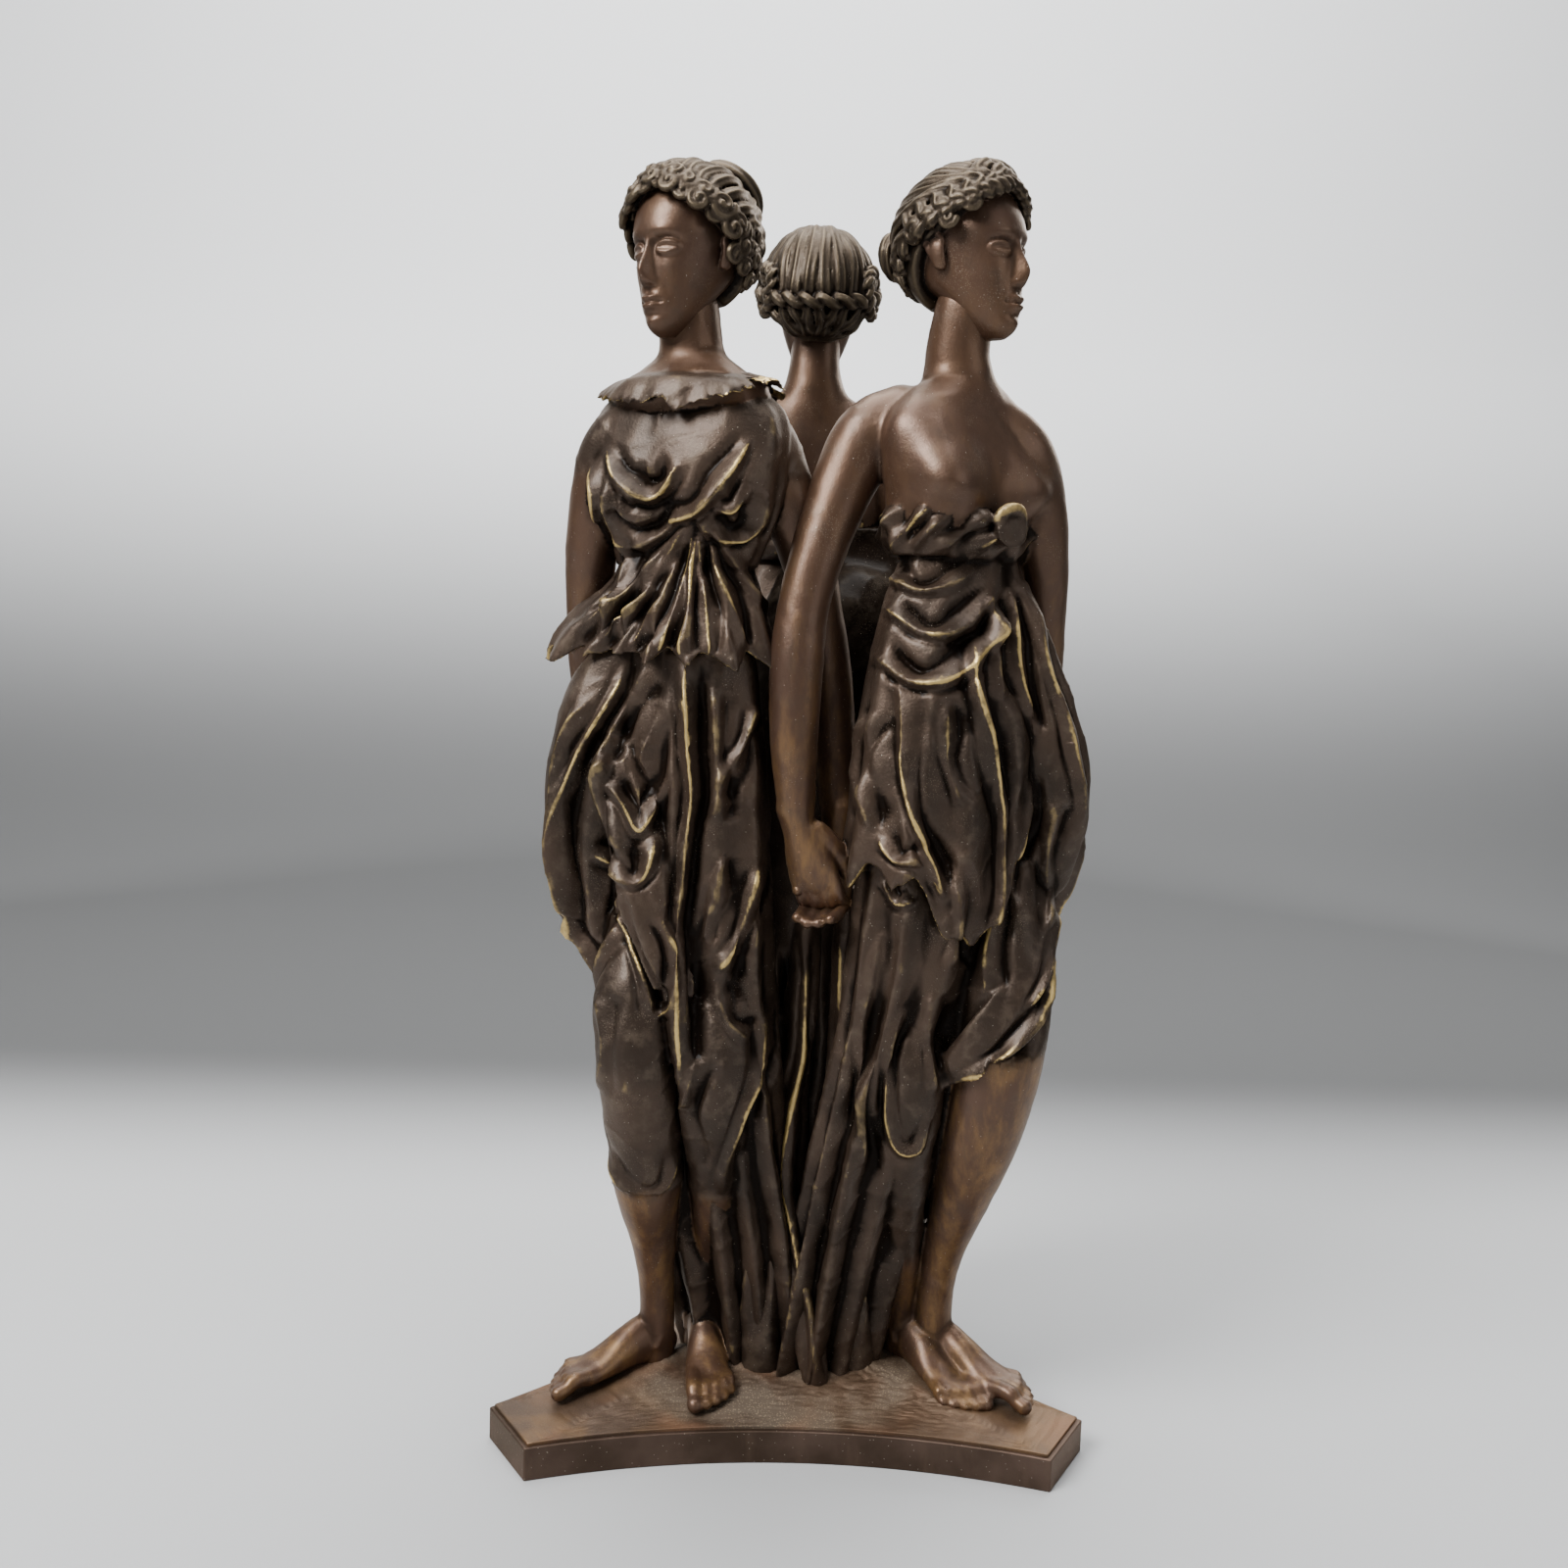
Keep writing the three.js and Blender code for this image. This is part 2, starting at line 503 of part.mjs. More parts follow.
// The woman at the back, on +Y, faces away from the other two. Her shoulders are a little higher.
function farWoman() {
  const here = (solid) => solid.rotate([0, 0, 180]).translate([0, 51, 0]);
  const raisedBust = BUST.map(([z, ...rest]) => [z + (z > 350 ? 5 : 0), ...rest]);
  const skirt = [
    [271, 0, 0, 30, 20.5, 1.6],
    [235, 0, 1, 33.5, 23.5, 2.8],
    [195, 0, 2.5, 34.5, 24, 3.2],
    [150, 0, 7, 33.5, 24, 3.8],
    [105, 0, 13, 33, 24, 4.4],
    [60, 0, 20, 33, 26, 5.2],
    [0, 0, 28, 37, 30, 6.5],
  ];
  const skirtRidges = [
    [-158, -158, -156, 1], [-116, -112, -108, 1.2], [-76, -74, -70, 1.2], [-40, -44, -38, 0.4],
    [-8, -12, -12, 1.5], [12, 12, 12, 0.9], [44, 46, 40, 0.4], [78, 76, 70, 1.3],
    [116, 112, 108, 1.2], [158, 156, 154, 1],
  ];
  const overfold = [
    [326, 0, 0, 24, 15, 0.8],
    [310, 0, 0, 30, 21, 2],
    [287, 0, 0, 35.5, 25.5, 2.8],
    [262, -1, 0, 40, 28.5, 3.8],
  ];
  const overfoldRidges = [
    [-158, -159, -160, 1], [-122, -124, -126, 1.2], [-90, -93, -96, 1.4], [-60, -63, -66, 1],
    [-34, -36, -38, 1.4], [-10, -12, -13, 1], [10, 12, 13, 1.3], [36, 38, 40, 1],
    [62, 66, 68, 1.3], [94, 98, 100, 1.3], [126, 128, 130, 1],
  ];
  return [
    here(drape(skirt, skirtRidges, { rings: 7 })),
    here(trunk(raisedBust, bustHeight, { sides: 14, rings: 6 })),
    here(drape(ROLLED_BAND, BAND_RIDGES, { rings: 5 })),
    here(drape(overfold, overfoldRidges, { rings: 4, hem: 4 })),
    neckSolid([
      [0, 50, 384, 19, 13],
      [0, 50, 396, 13, 11.5],
      [0, 50.5, 407, 10.8, 10.6],
      [0.5, 51.5, 420, 10.8, 11.5],
    ]),
    legSolid([
      [13, 56, 200, 12],
      [15, 64, 165, 16.5],
      [15, 66, 130, 15],
      [13, 58, 92, 12.5],
      [11, 48, 50, 8],
      [10, 44, 26, 7.5],
      [10, 42, 8, 8],
    ]),
    legSolid([
      [-12, 52, 180, 12],
      [-14, 59, 150, 15],
      [-14, 60, 124, 14],
      [-13, 52, 92, 12],
      [-12, 44, 50, 8],
      [-12, 40, 26, 7.5],
      [-12, 38, 8, 8],
    ]),
    footSolid({ heel: [10, 42, 8.5], turn: 170, drop: 10, inner: -1 }),
    footSolid({ heel: [-12, 38, 9.5], turn: 192, drop: 12, inner: 1 }),
    armSolid([
      [-16, 50, 383, 10, 10],
      [-28, 50, 374, 12.5, 12],
      [-36, 48, 358, 12, 11.5],
      [-43, 45, 334, 10.5, 10.5],
      [-48, 42, 308, 9.5, 9],
      [-52, 39, 284, 9, 8.5],
      [-57, 33, 256, 8.5, 8],
      [-62, 27, 232, 5.5, 6],
      [-66, 22, 212, 5, 7],
      [-68, 20, 198, 4, 6],
    ]),
    armSolid([
      [16, 50, 383, 10, 10],
      [28, 50, 374, 12.5, 12],
      [36, 48, 358, 12, 11.5],
      [44, 45, 334, 10.5, 10.5],
      [50, 42, 308, 9.5, 9],
      [55, 39, 284, 9, 8.5],
      [61, 34, 256, 8.5, 8],
      [68, 28, 232, 5.5, 6],
      [73, 23, 212, 5, 7],
      [75, 20, 198, 4, 6],
    ]),
    headSolid({
      place: [0.5, 53, 432], turn: 180, nod: 2,
      hair: { crest: 2, full: 1.04, knot: [[-9, 19, 6, 9, 8], [0, 23, 9, 11, 9], [9, 19, 6, 9, 8]] },
    }),
  ];
}

// Cloth that fills the middle between the three, with the long folds that fall from the joined hands.
function middleCloth() {
  const core = [
    [338, 10, 16, 18, 14],
    [300, 4, 8, 22, 18],
    [220, 0, 0, 26, 22],
    [120, 0, -1, 28, 24],
    [0, 1, -2, 30, 26],
  ];
  const longFold = (rows) => limb(rows, { sides: 6, rings: 6, rounded: false });
  return [
    trunk(core, () => 0, { sides: 12, rings: 6 }),
    longFold([
      [6, -30, 204, 5, 4],
      [0, -31, 160, 7, 6],
      [-2, -31, 110, 7, 6],
      [2, -31, 60, 8, 7],
      [8, -31, 25, 8, 7],
      [13, -25, 3, 9, 6],
    ]),
    longFold([
      [15, -28, 190, 5, 5],
      [16, -29, 150, 7, 6],
      [19, -28, 100, 7, 6],
      [21, -26, 50, 8, 7],
      [25, -22, 4, 9, 8],
    ]),
    longFold([[-12, -28, 180, 5, 5], [-13, -30, 130, 7, 7], [-13, -29, 70, 8, 7], [-14, -24, 4, 9, 9]]),
  ];
}

// Three hollowed sides and three cut corners, drawn in by inset, anticlockwise from +X.
function outline(inset) {
  const points = [];
  const corner = (k) => {
    const out = new THREE.Vector2(Math.cos((90 + 120 * k) * DEGREE), Math.sin((90 + 120 * k) * DEGREE));
    const along = new THREE.Vector2(-out.y, out.x);
    const reach = out.clone().multiplyScalar(CORNER_REACH - inset);
    const half = CORNER_HALF_WIDTH - inset * 0.6;
    return [reach.clone().addScaledVector(along, -half), reach.clone().addScaledVector(along, half)];
  };
  for (let k = 0; k < 3; k += 1) {
    const [start, from] = corner(k);
    const [to] = corner(k + 1);
    points.push(start);
    const inward = from.clone().add(to).divideScalar(2).negate().normalize();
    for (let i = 0; i < ARC_STEPS; i += 1) {
      const t = i / ARC_STEPS;
      points.push(from.clone().lerp(to, t).addScaledVector(inward, 4 * SIDE_HOLLOW * t * (1 - t)));
    }
  }
  return points;
}

const level = (points, z, share = 1) => points.map((p) => new THREE.Vector3(p.x * share, p.y * share, z));

function plinthSolid() {
  const foot = outline(0);
  const top = outline(PLINTH_BEVEL);
  return skin([level(foot, 0), level(foot, PLINTH_HEIGHT - PLINTH_BEVEL), level(top, PLINTH_HEIGHT)]);
}

function groundSolid() {
  const rim = outline(LEDGE);
  const shares = [0.82, 0.62, 0.38];
  const rise = (share) => GROUND_EDGE + GROUND_RISE * smooth(1.15 * (1 - share));
  const rings = [level(rim, 0), level(rim, GROUND_EDGE), ...shares.map((s) => level(rim, rise(s), s))];
  return skin(rings, undefined, new THREE.Vector3(0, 0, rise(0)));
}

function meshOf(name, solid, material) {
  const { vertProperties, triVerts } = solid.getMesh();
  const geometry = new THREE.BufferGeometry();
  geometry.setAttribute("position", new THREE.BufferAttribute(new Float32Array(vertProperties), 3));
  geometry.setIndex(new THREE.BufferAttribute(new Uint32Array(triVerts), 1));
  geometry.computeVertexNormals();
  const mesh = new THREE.Mesh(geometry, material);
  mesh.name = name;
  return mesh;
}

// The figures run a little into the ground, and what would pass below its underside is cut away.
// The outer shell alone is kept, so that no pocket stays sealed between the three backs.
function groupSolid() {
  const cast = [...collaredWoman(), ...bareShoulderedWoman(), ...farWoman(), ...middleCloth()];
  const women = wasm.Manifold.union(cast).scale([SCALE, SCALE, SCALE]);
  const joined = women.add(groundSolid()).trimByPlane([0, 0, 1], 0);
  const shells = joined.decompose().sort((p, q) => q.volume() - p.volume());
  return shells[0];
}

const group = groupSolid();
const figures = meshOf("three_graces_group", group, bronze);
figures.position.z = PLINTH_HEIGHT;

const statue = new THREE.Group();
statue.add(meshOf("plinth", plinthSolid(), plinthBronze), figures);

export default statue;
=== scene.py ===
"""Builds a table-top cast group: three draped women back to back with joined hands on a
three-sided plinth. Lengths in the tables are millimetres, and the meshes are in metres. Levels
are above the plinth's top, and in the tables of carved folds above its underside. A woman's
drapes and trunk are in her own frame, where she faces -Y and her left is +X. Her limbs, hands and
feet are in the group's frame. Angles round a form are degrees from its front, growing to its left."""
import math

import bmesh
import bpy
import numpy as np
from bpy.props import FloatProperty, FloatVectorProperty, IntProperty, PointerProperty
from mathutils import Matrix, Vector, noise


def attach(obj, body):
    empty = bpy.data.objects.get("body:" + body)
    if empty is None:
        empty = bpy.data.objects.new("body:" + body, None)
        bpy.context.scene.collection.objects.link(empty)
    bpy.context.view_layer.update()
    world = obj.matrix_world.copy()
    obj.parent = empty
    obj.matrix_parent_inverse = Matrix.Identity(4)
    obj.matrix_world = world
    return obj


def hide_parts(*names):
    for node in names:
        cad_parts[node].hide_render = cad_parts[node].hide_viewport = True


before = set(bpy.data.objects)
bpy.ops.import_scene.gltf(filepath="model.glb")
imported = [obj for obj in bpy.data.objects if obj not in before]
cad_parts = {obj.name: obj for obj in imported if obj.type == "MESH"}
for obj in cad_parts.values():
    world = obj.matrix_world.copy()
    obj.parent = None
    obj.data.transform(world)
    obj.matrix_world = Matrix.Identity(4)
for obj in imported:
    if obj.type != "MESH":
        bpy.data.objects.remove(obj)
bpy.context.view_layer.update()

bl_info = {
    "name": "Three Graces Statue",
    "version": (1, 0, 0),
    "blender": (4, 5, 0),
    "location": "View3D > Sidebar > Statue",
    "description": "Builds a cast bronze group of three draped women on a plinth",
    "category": "Object",
}

MM = 0.001
DEGREE = math.pi / 180
GROUP = "three_graces_group"
CORNER_SHARE = 6  # columns of the plinth's outline on each cut corner
HOLLOW_SHARE = 78  # and on each hollowed side

# Joining and easing
MIDDLE_VOXEL = 1.4  # coarser cells in the cloth between the women
MIDDLE_TRIANGLES = 48000
SHOULDER_LEVEL = 335  # above this the shoulders are eased longest
SHOULDER_BLEND = 25
WHOLE_SKIN_ROUNDS = 5  # rounds that ease all bare parts, before the shoulders alone

# Folds
FOLD_DEPTH = 1.2
RIDGE_SWING = 0.25  # how much a fold's width varies along it

# Wear, in rounds of easing: what each scale of form is measured against
FINE_ROUND, MIDDLE_ROUND, BROAD_ROUNDS = 3, 12, 36

# Camera and stage, in metres and radians
PHOTO_WIDTH = 1600  # pixels
FOCAL_LENGTH = 1617.8142  # pixels
SENSOR = 36  # millimetres
CAMERA_PLACE = (0, -0.62391, 0.3150091)
CAMERA_AZIMUTH = -0.0351
CAMERA_PAN, CAMERA_TILT, CAMERA_ROLL = 0.013, 0.1042, 0.0331
SWEEP_LENGTH, SWEEP_HALF_WIDTH = 7.0, 4
SWEEP_START, SWEEP_FLOOR = -2.4, 3.4
SWEEP_BEND = 0.9
LIGHT_TARGET = (0, 0, 0.25)
LIGHTS = (("key", (-1.1, -0.9, 1.5), 0.9, 74), ("fill", (1.5, -1.2, 0.9), 1.2, 8),
          ("top", (0.0, 0.1, 1.8), 1.3, 44), ("rim", (0.9, 1.2, 1.1), 0.8, 10))
BACKDROP_LIGHT = ("backdrop", (0, 0.7, 2.3), 1.6, 60)

# Colours of wear and dirt, which keep their hue when the patina is changed
CLOTH_BROWN = (0.058, 0.035, 0.023)
SKIN_BROWN = (0.078, 0.040, 0.023)
GOLDEN_BROWN = (0.19, 0.105, 0.040)
HAIR_CREST = (0.080, 0.060, 0.038)
GRIT = (0.22, 0.17, 0.12)
PALE_SPECK = (0.45, 0.40, 0.33)
CHIP = (0.36, 0.19, 0.11)
BRIGHT_METAL = (0.66, 0.49, 0.20)
GROUND_BROWN = (0.092, 0.055, 0.033)
GROUND_GOLD = (0.16, 0.088, 0.036)
GROUND_GRAIN = (0.26, 0.20, 0.13)
RUST = (0.17, 0.070, 0.030)
PLINTH_BROWN = (0.085, 0.055, 0.042)
PLINTH_STREAK = (0.13, 0.085, 0.06)
PLINTH_SPECK = (0.4, 0.34, 0.28)


class StatueSizes(bpy.types.PropertyGroup):
    plinth_height: FloatProperty(
        name="Plinth height", description="Thickness of the plinth",
        default=0.0125, unit="LENGTH", subtype="DISTANCE")
    corner_reach: FloatProperty(
        name="Corner reach", description="From the middle to each cut corner",
        default=0.121, unit="LENGTH", subtype="DISTANCE")
    corner_half_width: FloatProperty(
        name="Corner half width", description="Half the width of each cut corner",
        default=0.0175, unit="LENGTH", subtype="DISTANCE")
    side_hollow: FloatProperty(
        name="Side hollow", description="How far each side of the plinth curves in",
        default=0.0165, unit="LENGTH", subtype="DISTANCE")
    ledge: FloatProperty(
        name="Ledge", description="Plinth left bare round the ground",
        default=0.0018, unit="LENGTH", subtype="DISTANCE")
    ground_rise: FloatProperty(
        name="Ground rise", description="How much higher the ground is in the middle",
        default=0.013, unit="LENGTH", subtype="DISTANCE")
    body_voxel: FloatProperty(
        name="Body voxel", description="Size of the cells in which a body's forms are joined",
        default=0.0008, unit="LENGTH", subtype="DISTANCE")
    head_voxel: FloatProperty(
        name="Head voxel", description="Size of the cells in which a head's forms are joined",
        default=0.00045, unit="LENGTH", subtype="DISTANCE")
    body_triangles: IntProperty(
        name="Body triangles", description="Most triangles a body keeps", default=186000)
    head_triangles: IntProperty(
        name="Head triangles", description="Most triangles a head keeps", default=98000)


class StatueColours(bpy.types.PropertyGroup):
    patina: FloatVectorProperty(
        name="Patina", description="Dark brown patina on the cloth", size=3, subtype="COLOR",
        default=(0.040, 0.0245, 0.0165))
    skin: FloatVectorProperty(
        name="Skin", description="Warmer brown of the bare parts", size=3, subtype="COLOR",
        default=(0.070, 0.038, 0.0255))
    hair: FloatVectorProperty(
        name="Hair", description="Grey khaki of the hair", size=3, subtype="COLOR",
        default=(0.034, 0.0245, 0.0165))
    gilt: FloatVectorProperty(
        name="Rubbed metal", description="Yellow metal where the patina is rubbed away",
        size=3, subtype="COLOR", default=(0.58, 0.40, 0.15))
    dust: FloatVectorProperty(
        name="Dust", description="Khaki dust in the hollows", size=3, subtype="COLOR",
        default=(0.105, 0.082, 0.058))


# Numbers

def spline(rows, t):
    """Smooth curves through the rows at shares t, one curve for each column."""
    rows = np.asarray(rows, float)
    s = np.clip(t, 0, 1) * (len(rows) - 1)
    i = np.minimum(s.astype(int), len(rows) - 2)
    f = (s - i)[:, None]
    before, start, end, after = (rows[np.clip(i + k, 0, len(rows) - 1)] for k in (-1, 0, 1, 2))
    slope1, slope2, rise = (end - before) / 2, (after - start) / 2, end - start
    return start + f * (slope1 + f * (3 * rise - 2 * slope1 - slope2 + f * (slope1 + slope2 - 2 * rise)))


def bump(distance, width):
    return np.exp(-((distance / width) ** 2))


def smooth(x):
    x = np.clip(x, 0, 1)
    return x * x * (3 - 2 * x)


def wrapped(angle):
    return (angle + 180) % 360 - 180


def turned(points, degrees, axis=2):
    c, s = math.cos(degrees * DEGREE), math.sin(degrees * DEGREE)
    i, j = [(1, 2), (2, 0), (0, 1)][axis]
    out = points.copy()
    out[:, i] = c * points[:, i] - s * points[:, j]
    out[:, j] = s * points[:, i] + c * points[:, j]
    return out


def unit(vectors):
    return vectors / np.linalg.norm(vectors, axis=-1, keepdims=True)


def fineness():
    return 1.0


def middle_share(share, cap):
    """Share along a form between its two rounded ends, which take cap each."""
    return (share - cap) / (1 - 2 * cap)


def rounded_ends(share, cap):
    """Radius along a form, which closes in a quarter circle at each end."""
    return np.sin(np.clip(np.minimum(share, 1 - share) / cap, 0, 1) * math.pi / 2)


def end_caps(t, cap):
    """Radius and overhang of a tube's rounded ends, for shares t below 0 and above 1."""
    beyond = np.where(t < 0, t / cap * (1 - 2 * cap), np.where(t > 1, (t - 1) / cap * (1 - 2 * cap), 0))
    beyond = np.clip(beyond, -1, 1) * math.pi / 2
    return np.cos(beyond), np.sin(beyond)


def direction(rows, t):
    """Unit vectors along the line through the rows."""
    near = np.clip(t, 0.02, 0.98)
    return unit((spline(rows, near + 0.02) - spline(rows, near - 0.02))[:, :3])


# Forms. Each is a grid wrapped round a ball, whose points are moved into place, with its marks:
# skin, hair and gilt, from 0 to 1.

class Form:
    def __init__(self, columns, rows):
        columns, rows = max(int(columns), 8), max(int(rows), 6)
        bm = bmesh.new()
        bmesh.ops.create_grid(bm, x_segments=columns, y_segments=rows, size=1)
        self.mesh = bpy.data.meshes.new("form")
        bm.to_mesh(self.mesh)
        bm.free()
        co = np.empty(len(self.mesh.vertices) * 3)
        self.mesh.vertices.foreach_get("co", co)
        co = co.reshape(-1, 3)
        self.angle = co[:, 0] * 180
        self.share = (1 - co[:, 1]) / 2
        round_, turn = np.sin(self.share * math.pi), self.angle * DEGREE
        self.points = np.column_stack([round_ * np.sin(turn), -round_ * np.cos(turn),
                                       np.cos(self.share * math.pi)])
        self.marks = {"skin": np.zeros(len(co)), "hair": np.zeros(len(co)), "gilt": np.zeros(len(co))}

    def marked(self, **marks):
        for name, value in marks.items():
            self.marks[name][:] = value(self.points) if callable(value) else value
        return self

    def moved(self, turn=0.0, nod=0.0, place=(0, 0, 0)):
        self.points = turned(turned(self.points, nod, 0), turn) + np.asarray(place, float)
        return self

    def finished(self):
        self.mesh.vertices.foreach_set("co", (self.points * MM).ravel())
        for name, values in self.marks.items():
            self.mesh.attributes.new(name, "FLOAT", "POINT").data.foreach_set("value", values)
        return self.mesh


def limb(rows, columns=36, rings=60, side=(1, 0, 0), relief=None, blunt=0.9):
    """Oval sections [x, y, z, half width, half depth] along a smooth line, with rounded ends."""
    rows = [list(r) + [r[3]] if len(r) == 4 else list(r) for r in rows]
    form = Form(columns * fineness() ** 0.5, rings * fineness() ** 0.5)
    cap = 0.08
    t = middle_share(form.share, cap)
    form.t = np.clip(t, 0, 1)
    at = spline(rows, t)
    along = direction(rows, t)
    v = unit(np.cross(along, np.asarray(side, float)))
    u = np.cross(v, along)
    shrink, overhang = end_caps(t, cap)
    push = overhang * np.minimum(at[:, 3], at[:, 4]) * blunt
    turn = form.angle * DEGREE
    out = relief(form.angle, form.t) if relief else 0.0
    form.points = (at[:, :3] + along * push[:, None]
                   + u * (shrink * (at[:, 3] + out) * np.cos(turn))[:, None]
                   + v * (shrink * (at[:, 4] + out) * np.sin(turn))[:, None])
    return form


def strokes_on(angle, z, strokes, reach):
    """Height and gilding of fold strokes (path of [angle, z], height, width, gilding, lean)."""
    out = np.zeros(len(angle))
    gilt = np.zeros(len(angle))
    for path, height, width, worn, lean in strokes:
        path = np.asarray(path, float)
        scale = reach * DEGREE
        length = np.linalg.norm(np.diff(path * [scale, 1], axis=0), axis=1).sum()
        share = np.linspace(0, 1, max(int(length / (0.7 * width)), 8))
        line = spline(path, share)
        middle = (line[:, 0].min() + line[:, 0].max()) / 2
        lx, lz = (line[:, 0] - middle) * scale, line[:, 1]
        x = wrapped(angle - middle) * scale
        margin = 4.2 * width
        near = np.nonzero((x > lx.min() - margin) & (x < lx.max() + margin)
                          & (z > lz.min() - margin) & (z < lz.max() + margin))[0]
        if not len(near):
            continue
        dx = x[near, None] - lx
        dz = z[near, None] - lz
        best = np.argmin(dx * dx + dz * dz, axis=1)
        rows = np.arange(len(near))
        dx, dz = dx[rows, best], dz[rows, best]
        tx, tz = np.gradient(lx)[best], np.gradient(lz)[best]
        norm = np.hypot(tx, tz) + 1e-9
        across = (tx * dz - tz * dx) / norm
        along = (tx * dx + tz * dz) / norm
        beyond = np.where((best == 0) | (best == len(lx) - 1), along, 0)
        d = np.hypot(across, beyond)
        along_path = share[best]
        w = width * (1 + lean * np.sign(across)) * (1 + RIDGE_SWING * np.sin(9 * along_path + path[0, 1]))
        taper = smooth(along_path / 0.2) * smooth((1 - along_path) / 0.2)
        crest = np.exp(-((d / (0.95 * w)) ** 1.3))
        hollow = (0.6 + 0.25 * np.sign(across)) * np.exp(-(((d - 2.0 * w) / (0.9 * w)) ** 2))
        out[near] += height * taper * (0.85 + 0.2 * np.sin(7 * along_path + path[0, 0])) * (crest - hollow)
        shown = worn * (0.72 + 0.28 * np.sin(8 * along_path + path[0, 0] + path[0, 1]))
        np.maximum.at(gilt, near, shown * taper ** 0.5 * np.exp(-((d / (0.36 * width)) ** 2)))
    return out, gilt


def ridged(angle, t, ridges, valley, sharp):
    """Folds between ridges [angle at the top, halfway, at the bottom, share of the depth]."""
    ridges = np.asarray(ridges, float)
    lines = np.stack([spline(r[:3].reshape(3, 1), t)[:, 0] for r in ridges], axis=1)
    past = (angle[:, None] - lines) % 360
    k = np.argmin(past, axis=1)
    rows = np.arange(len(angle))
    following = (k + 1) % len(ridges)
    gap = (lines[rows, following] - lines[rows, k]) % 360
    phase = past[rows, k] / np.maximum(gap, 1e-6)
    share = ridges[k, 3] * (1 - smooth(phase)) + ridges[following, 3] * smooth(phase)
    return share * ((1 + valley) * (1 - np.abs(np.sin(math.pi * phase)) ** sharp) - valley)


def drape(rows, ridges, columns, rings, strokes=(), hem=0.0, lift=5.0, valley=0.55,
          sharp=0.9, relief=None, edge=None, worn=0.0, thin=0.82):
    """Cloth round a body: level sections [z, x, y, half width, half depth, depth of the folds].
    The lower edge hangs lower on the ridges by hem, and is hollowed from below by lift."""
    form = Form(columns * fineness(), rings * fineness())
    top, low = 0.03, 0.05
    t = np.clip((form.share - top) / (1 - top - low), 0, 1)
    at = spline(rows, t)
    z, depth = at[:, 0], at[:, 5]
    folds = ridged(form.angle, t, ridges, valley, sharp) if len(ridges) else np.zeros(len(t))
    drop = hem * folds * smooth((t - 0.55) / 0.45)
    if edge is not None:
        drop = drop + edge(form.angle) * smooth((t - 0.35) / 0.65)
    reach = 0.5 * (at[:, 3].mean() + at[:, 4].mean())
    raised, gilt = strokes_on(form.angle, z, strokes, reach)
    out = folds * depth + raised
    if relief is not None:
        out = out + relief(form.angle, z)
    under = np.clip((form.share - (1 - low)) / low, 0, 1)
    radius = np.where(form.share < top, np.sin(np.clip(form.share / top, 0, 1) * math.pi / 2), 1 - under)
    radius = np.where(under > 0, thin + (1 - thin) * (1 - np.minimum(under * 3, 1)), radius)
    radius = np.where(under > 1 / 3, thin * (1 - (under - 1 / 3) * 1.5), radius)
    rise = lift * smooth(under * 1.6)
    turn = form.angle * DEGREE
    x = at[:, 1] + radius * (at[:, 3] + out) * np.sin(turn)
    y = at[:, 2] - radius * (at[:, 4] + out) * np.cos(turn)
    form.points = np.stack([x, y, z - drop + rise], axis=1)
    if worn:
        gilt = np.maximum(gilt, worn * bump(t - 1, 0.012) * (under < 0.4))
    form.marks["gilt"] = np.clip(gilt, 0, 1)
    return form


def trunk(rows, relief=None, columns=220, rings=140):
    """A bare body: level sections [z, x, y, half width, half depth] with rounded ends."""
    form = Form(columns * fineness(), rings * fineness())
    cap = 0.05
    at = spline(rows, np.clip(middle_share(form.share, cap), 0, 1))
    radius = rounded_ends(form.share, cap)
    out = relief(form.angle, at[:, 0]) if relief else 0.0
    turn = form.angle * DEGREE
    x = at[:, 1] + radius * (at[:, 3] + out) * np.sin(turn)
    y = at[:, 2] - radius * (at[:, 4] + out) * np.cos(turn)
    form.points = np.stack([x, y, at[:, 0]], axis=1)
    return form


# Joining forms into one skin

def neighbour_mean(values, edges, count):
    a, b = edges[:, 0], edges[:, 1]
    total = np.zeros_like(values)
    for c in range(values.shape[1]):
        total[:, c] = (np.bincount(a, values[b, c], len(values))
                       + np.bincount(b, values[a, c], len(values)))
    return total / count[:, None]


def mesh_arrays(mesh):
    co = np.empty(len(mesh.vertices) * 3)
    mesh.vertices.foreach_get("co", co)
    edges = np.empty(len(mesh.edges) * 2, np.int64)
    mesh.edges.foreach_get("vertices", edges)
    edges = edges.reshape(-1, 2)
    count = np.maximum(np.bincount(edges.ravel(), minlength=len(mesh.vertices)), 1).astype(float)
    return co.reshape(-1, 3), edges, count


def vertex_normals(mesh):
    normals = np.empty(len(mesh.vertices) * 3)
    mesh.vertices.foreach_get("normal", normals)
    return normals.reshape(-1, 3)


def read_mark(mesh, name):
    values = np.zeros(len(mesh.vertices))
    if name in mesh.attributes:
        mesh.attributes[name].data.foreach_get("value", values)
    return values


def write_mark(mesh, name, values):
    layer = mesh.attributes.get(name) or mesh.attributes.new(name, "FLOAT", "POINT")
    layer.data.foreach_set("value", np.clip(values, 0, 1).astype(np.float32))


def show(obj):
    bpy.context.scene.collection.objects.link(obj)
    return show_only(obj)


def show_only(obj):
    bpy.context.view_layer.objects.active = obj
    for other in bpy.context.selected_objects:
        other.select_set(False)
    obj.select_set(True)
    return obj


def unevenness(points, seed, waves, shortest, longest):
    """A soft random swell in space, from -1 to 1, for points in millimetres."""
    random = np.random.default_rng(seed)
    total = np.zeros(len(points))
    for _ in range(waves):
        way = unit(random.normal(size=3) * (1, 1, 0.6))
        length = shortest + (longest - shortest) * random.random()
        total += np.sin(points @ way * 2 * math.pi / length + 6.3 * random.random())
    return total / waves ** 0.5 / 1.4


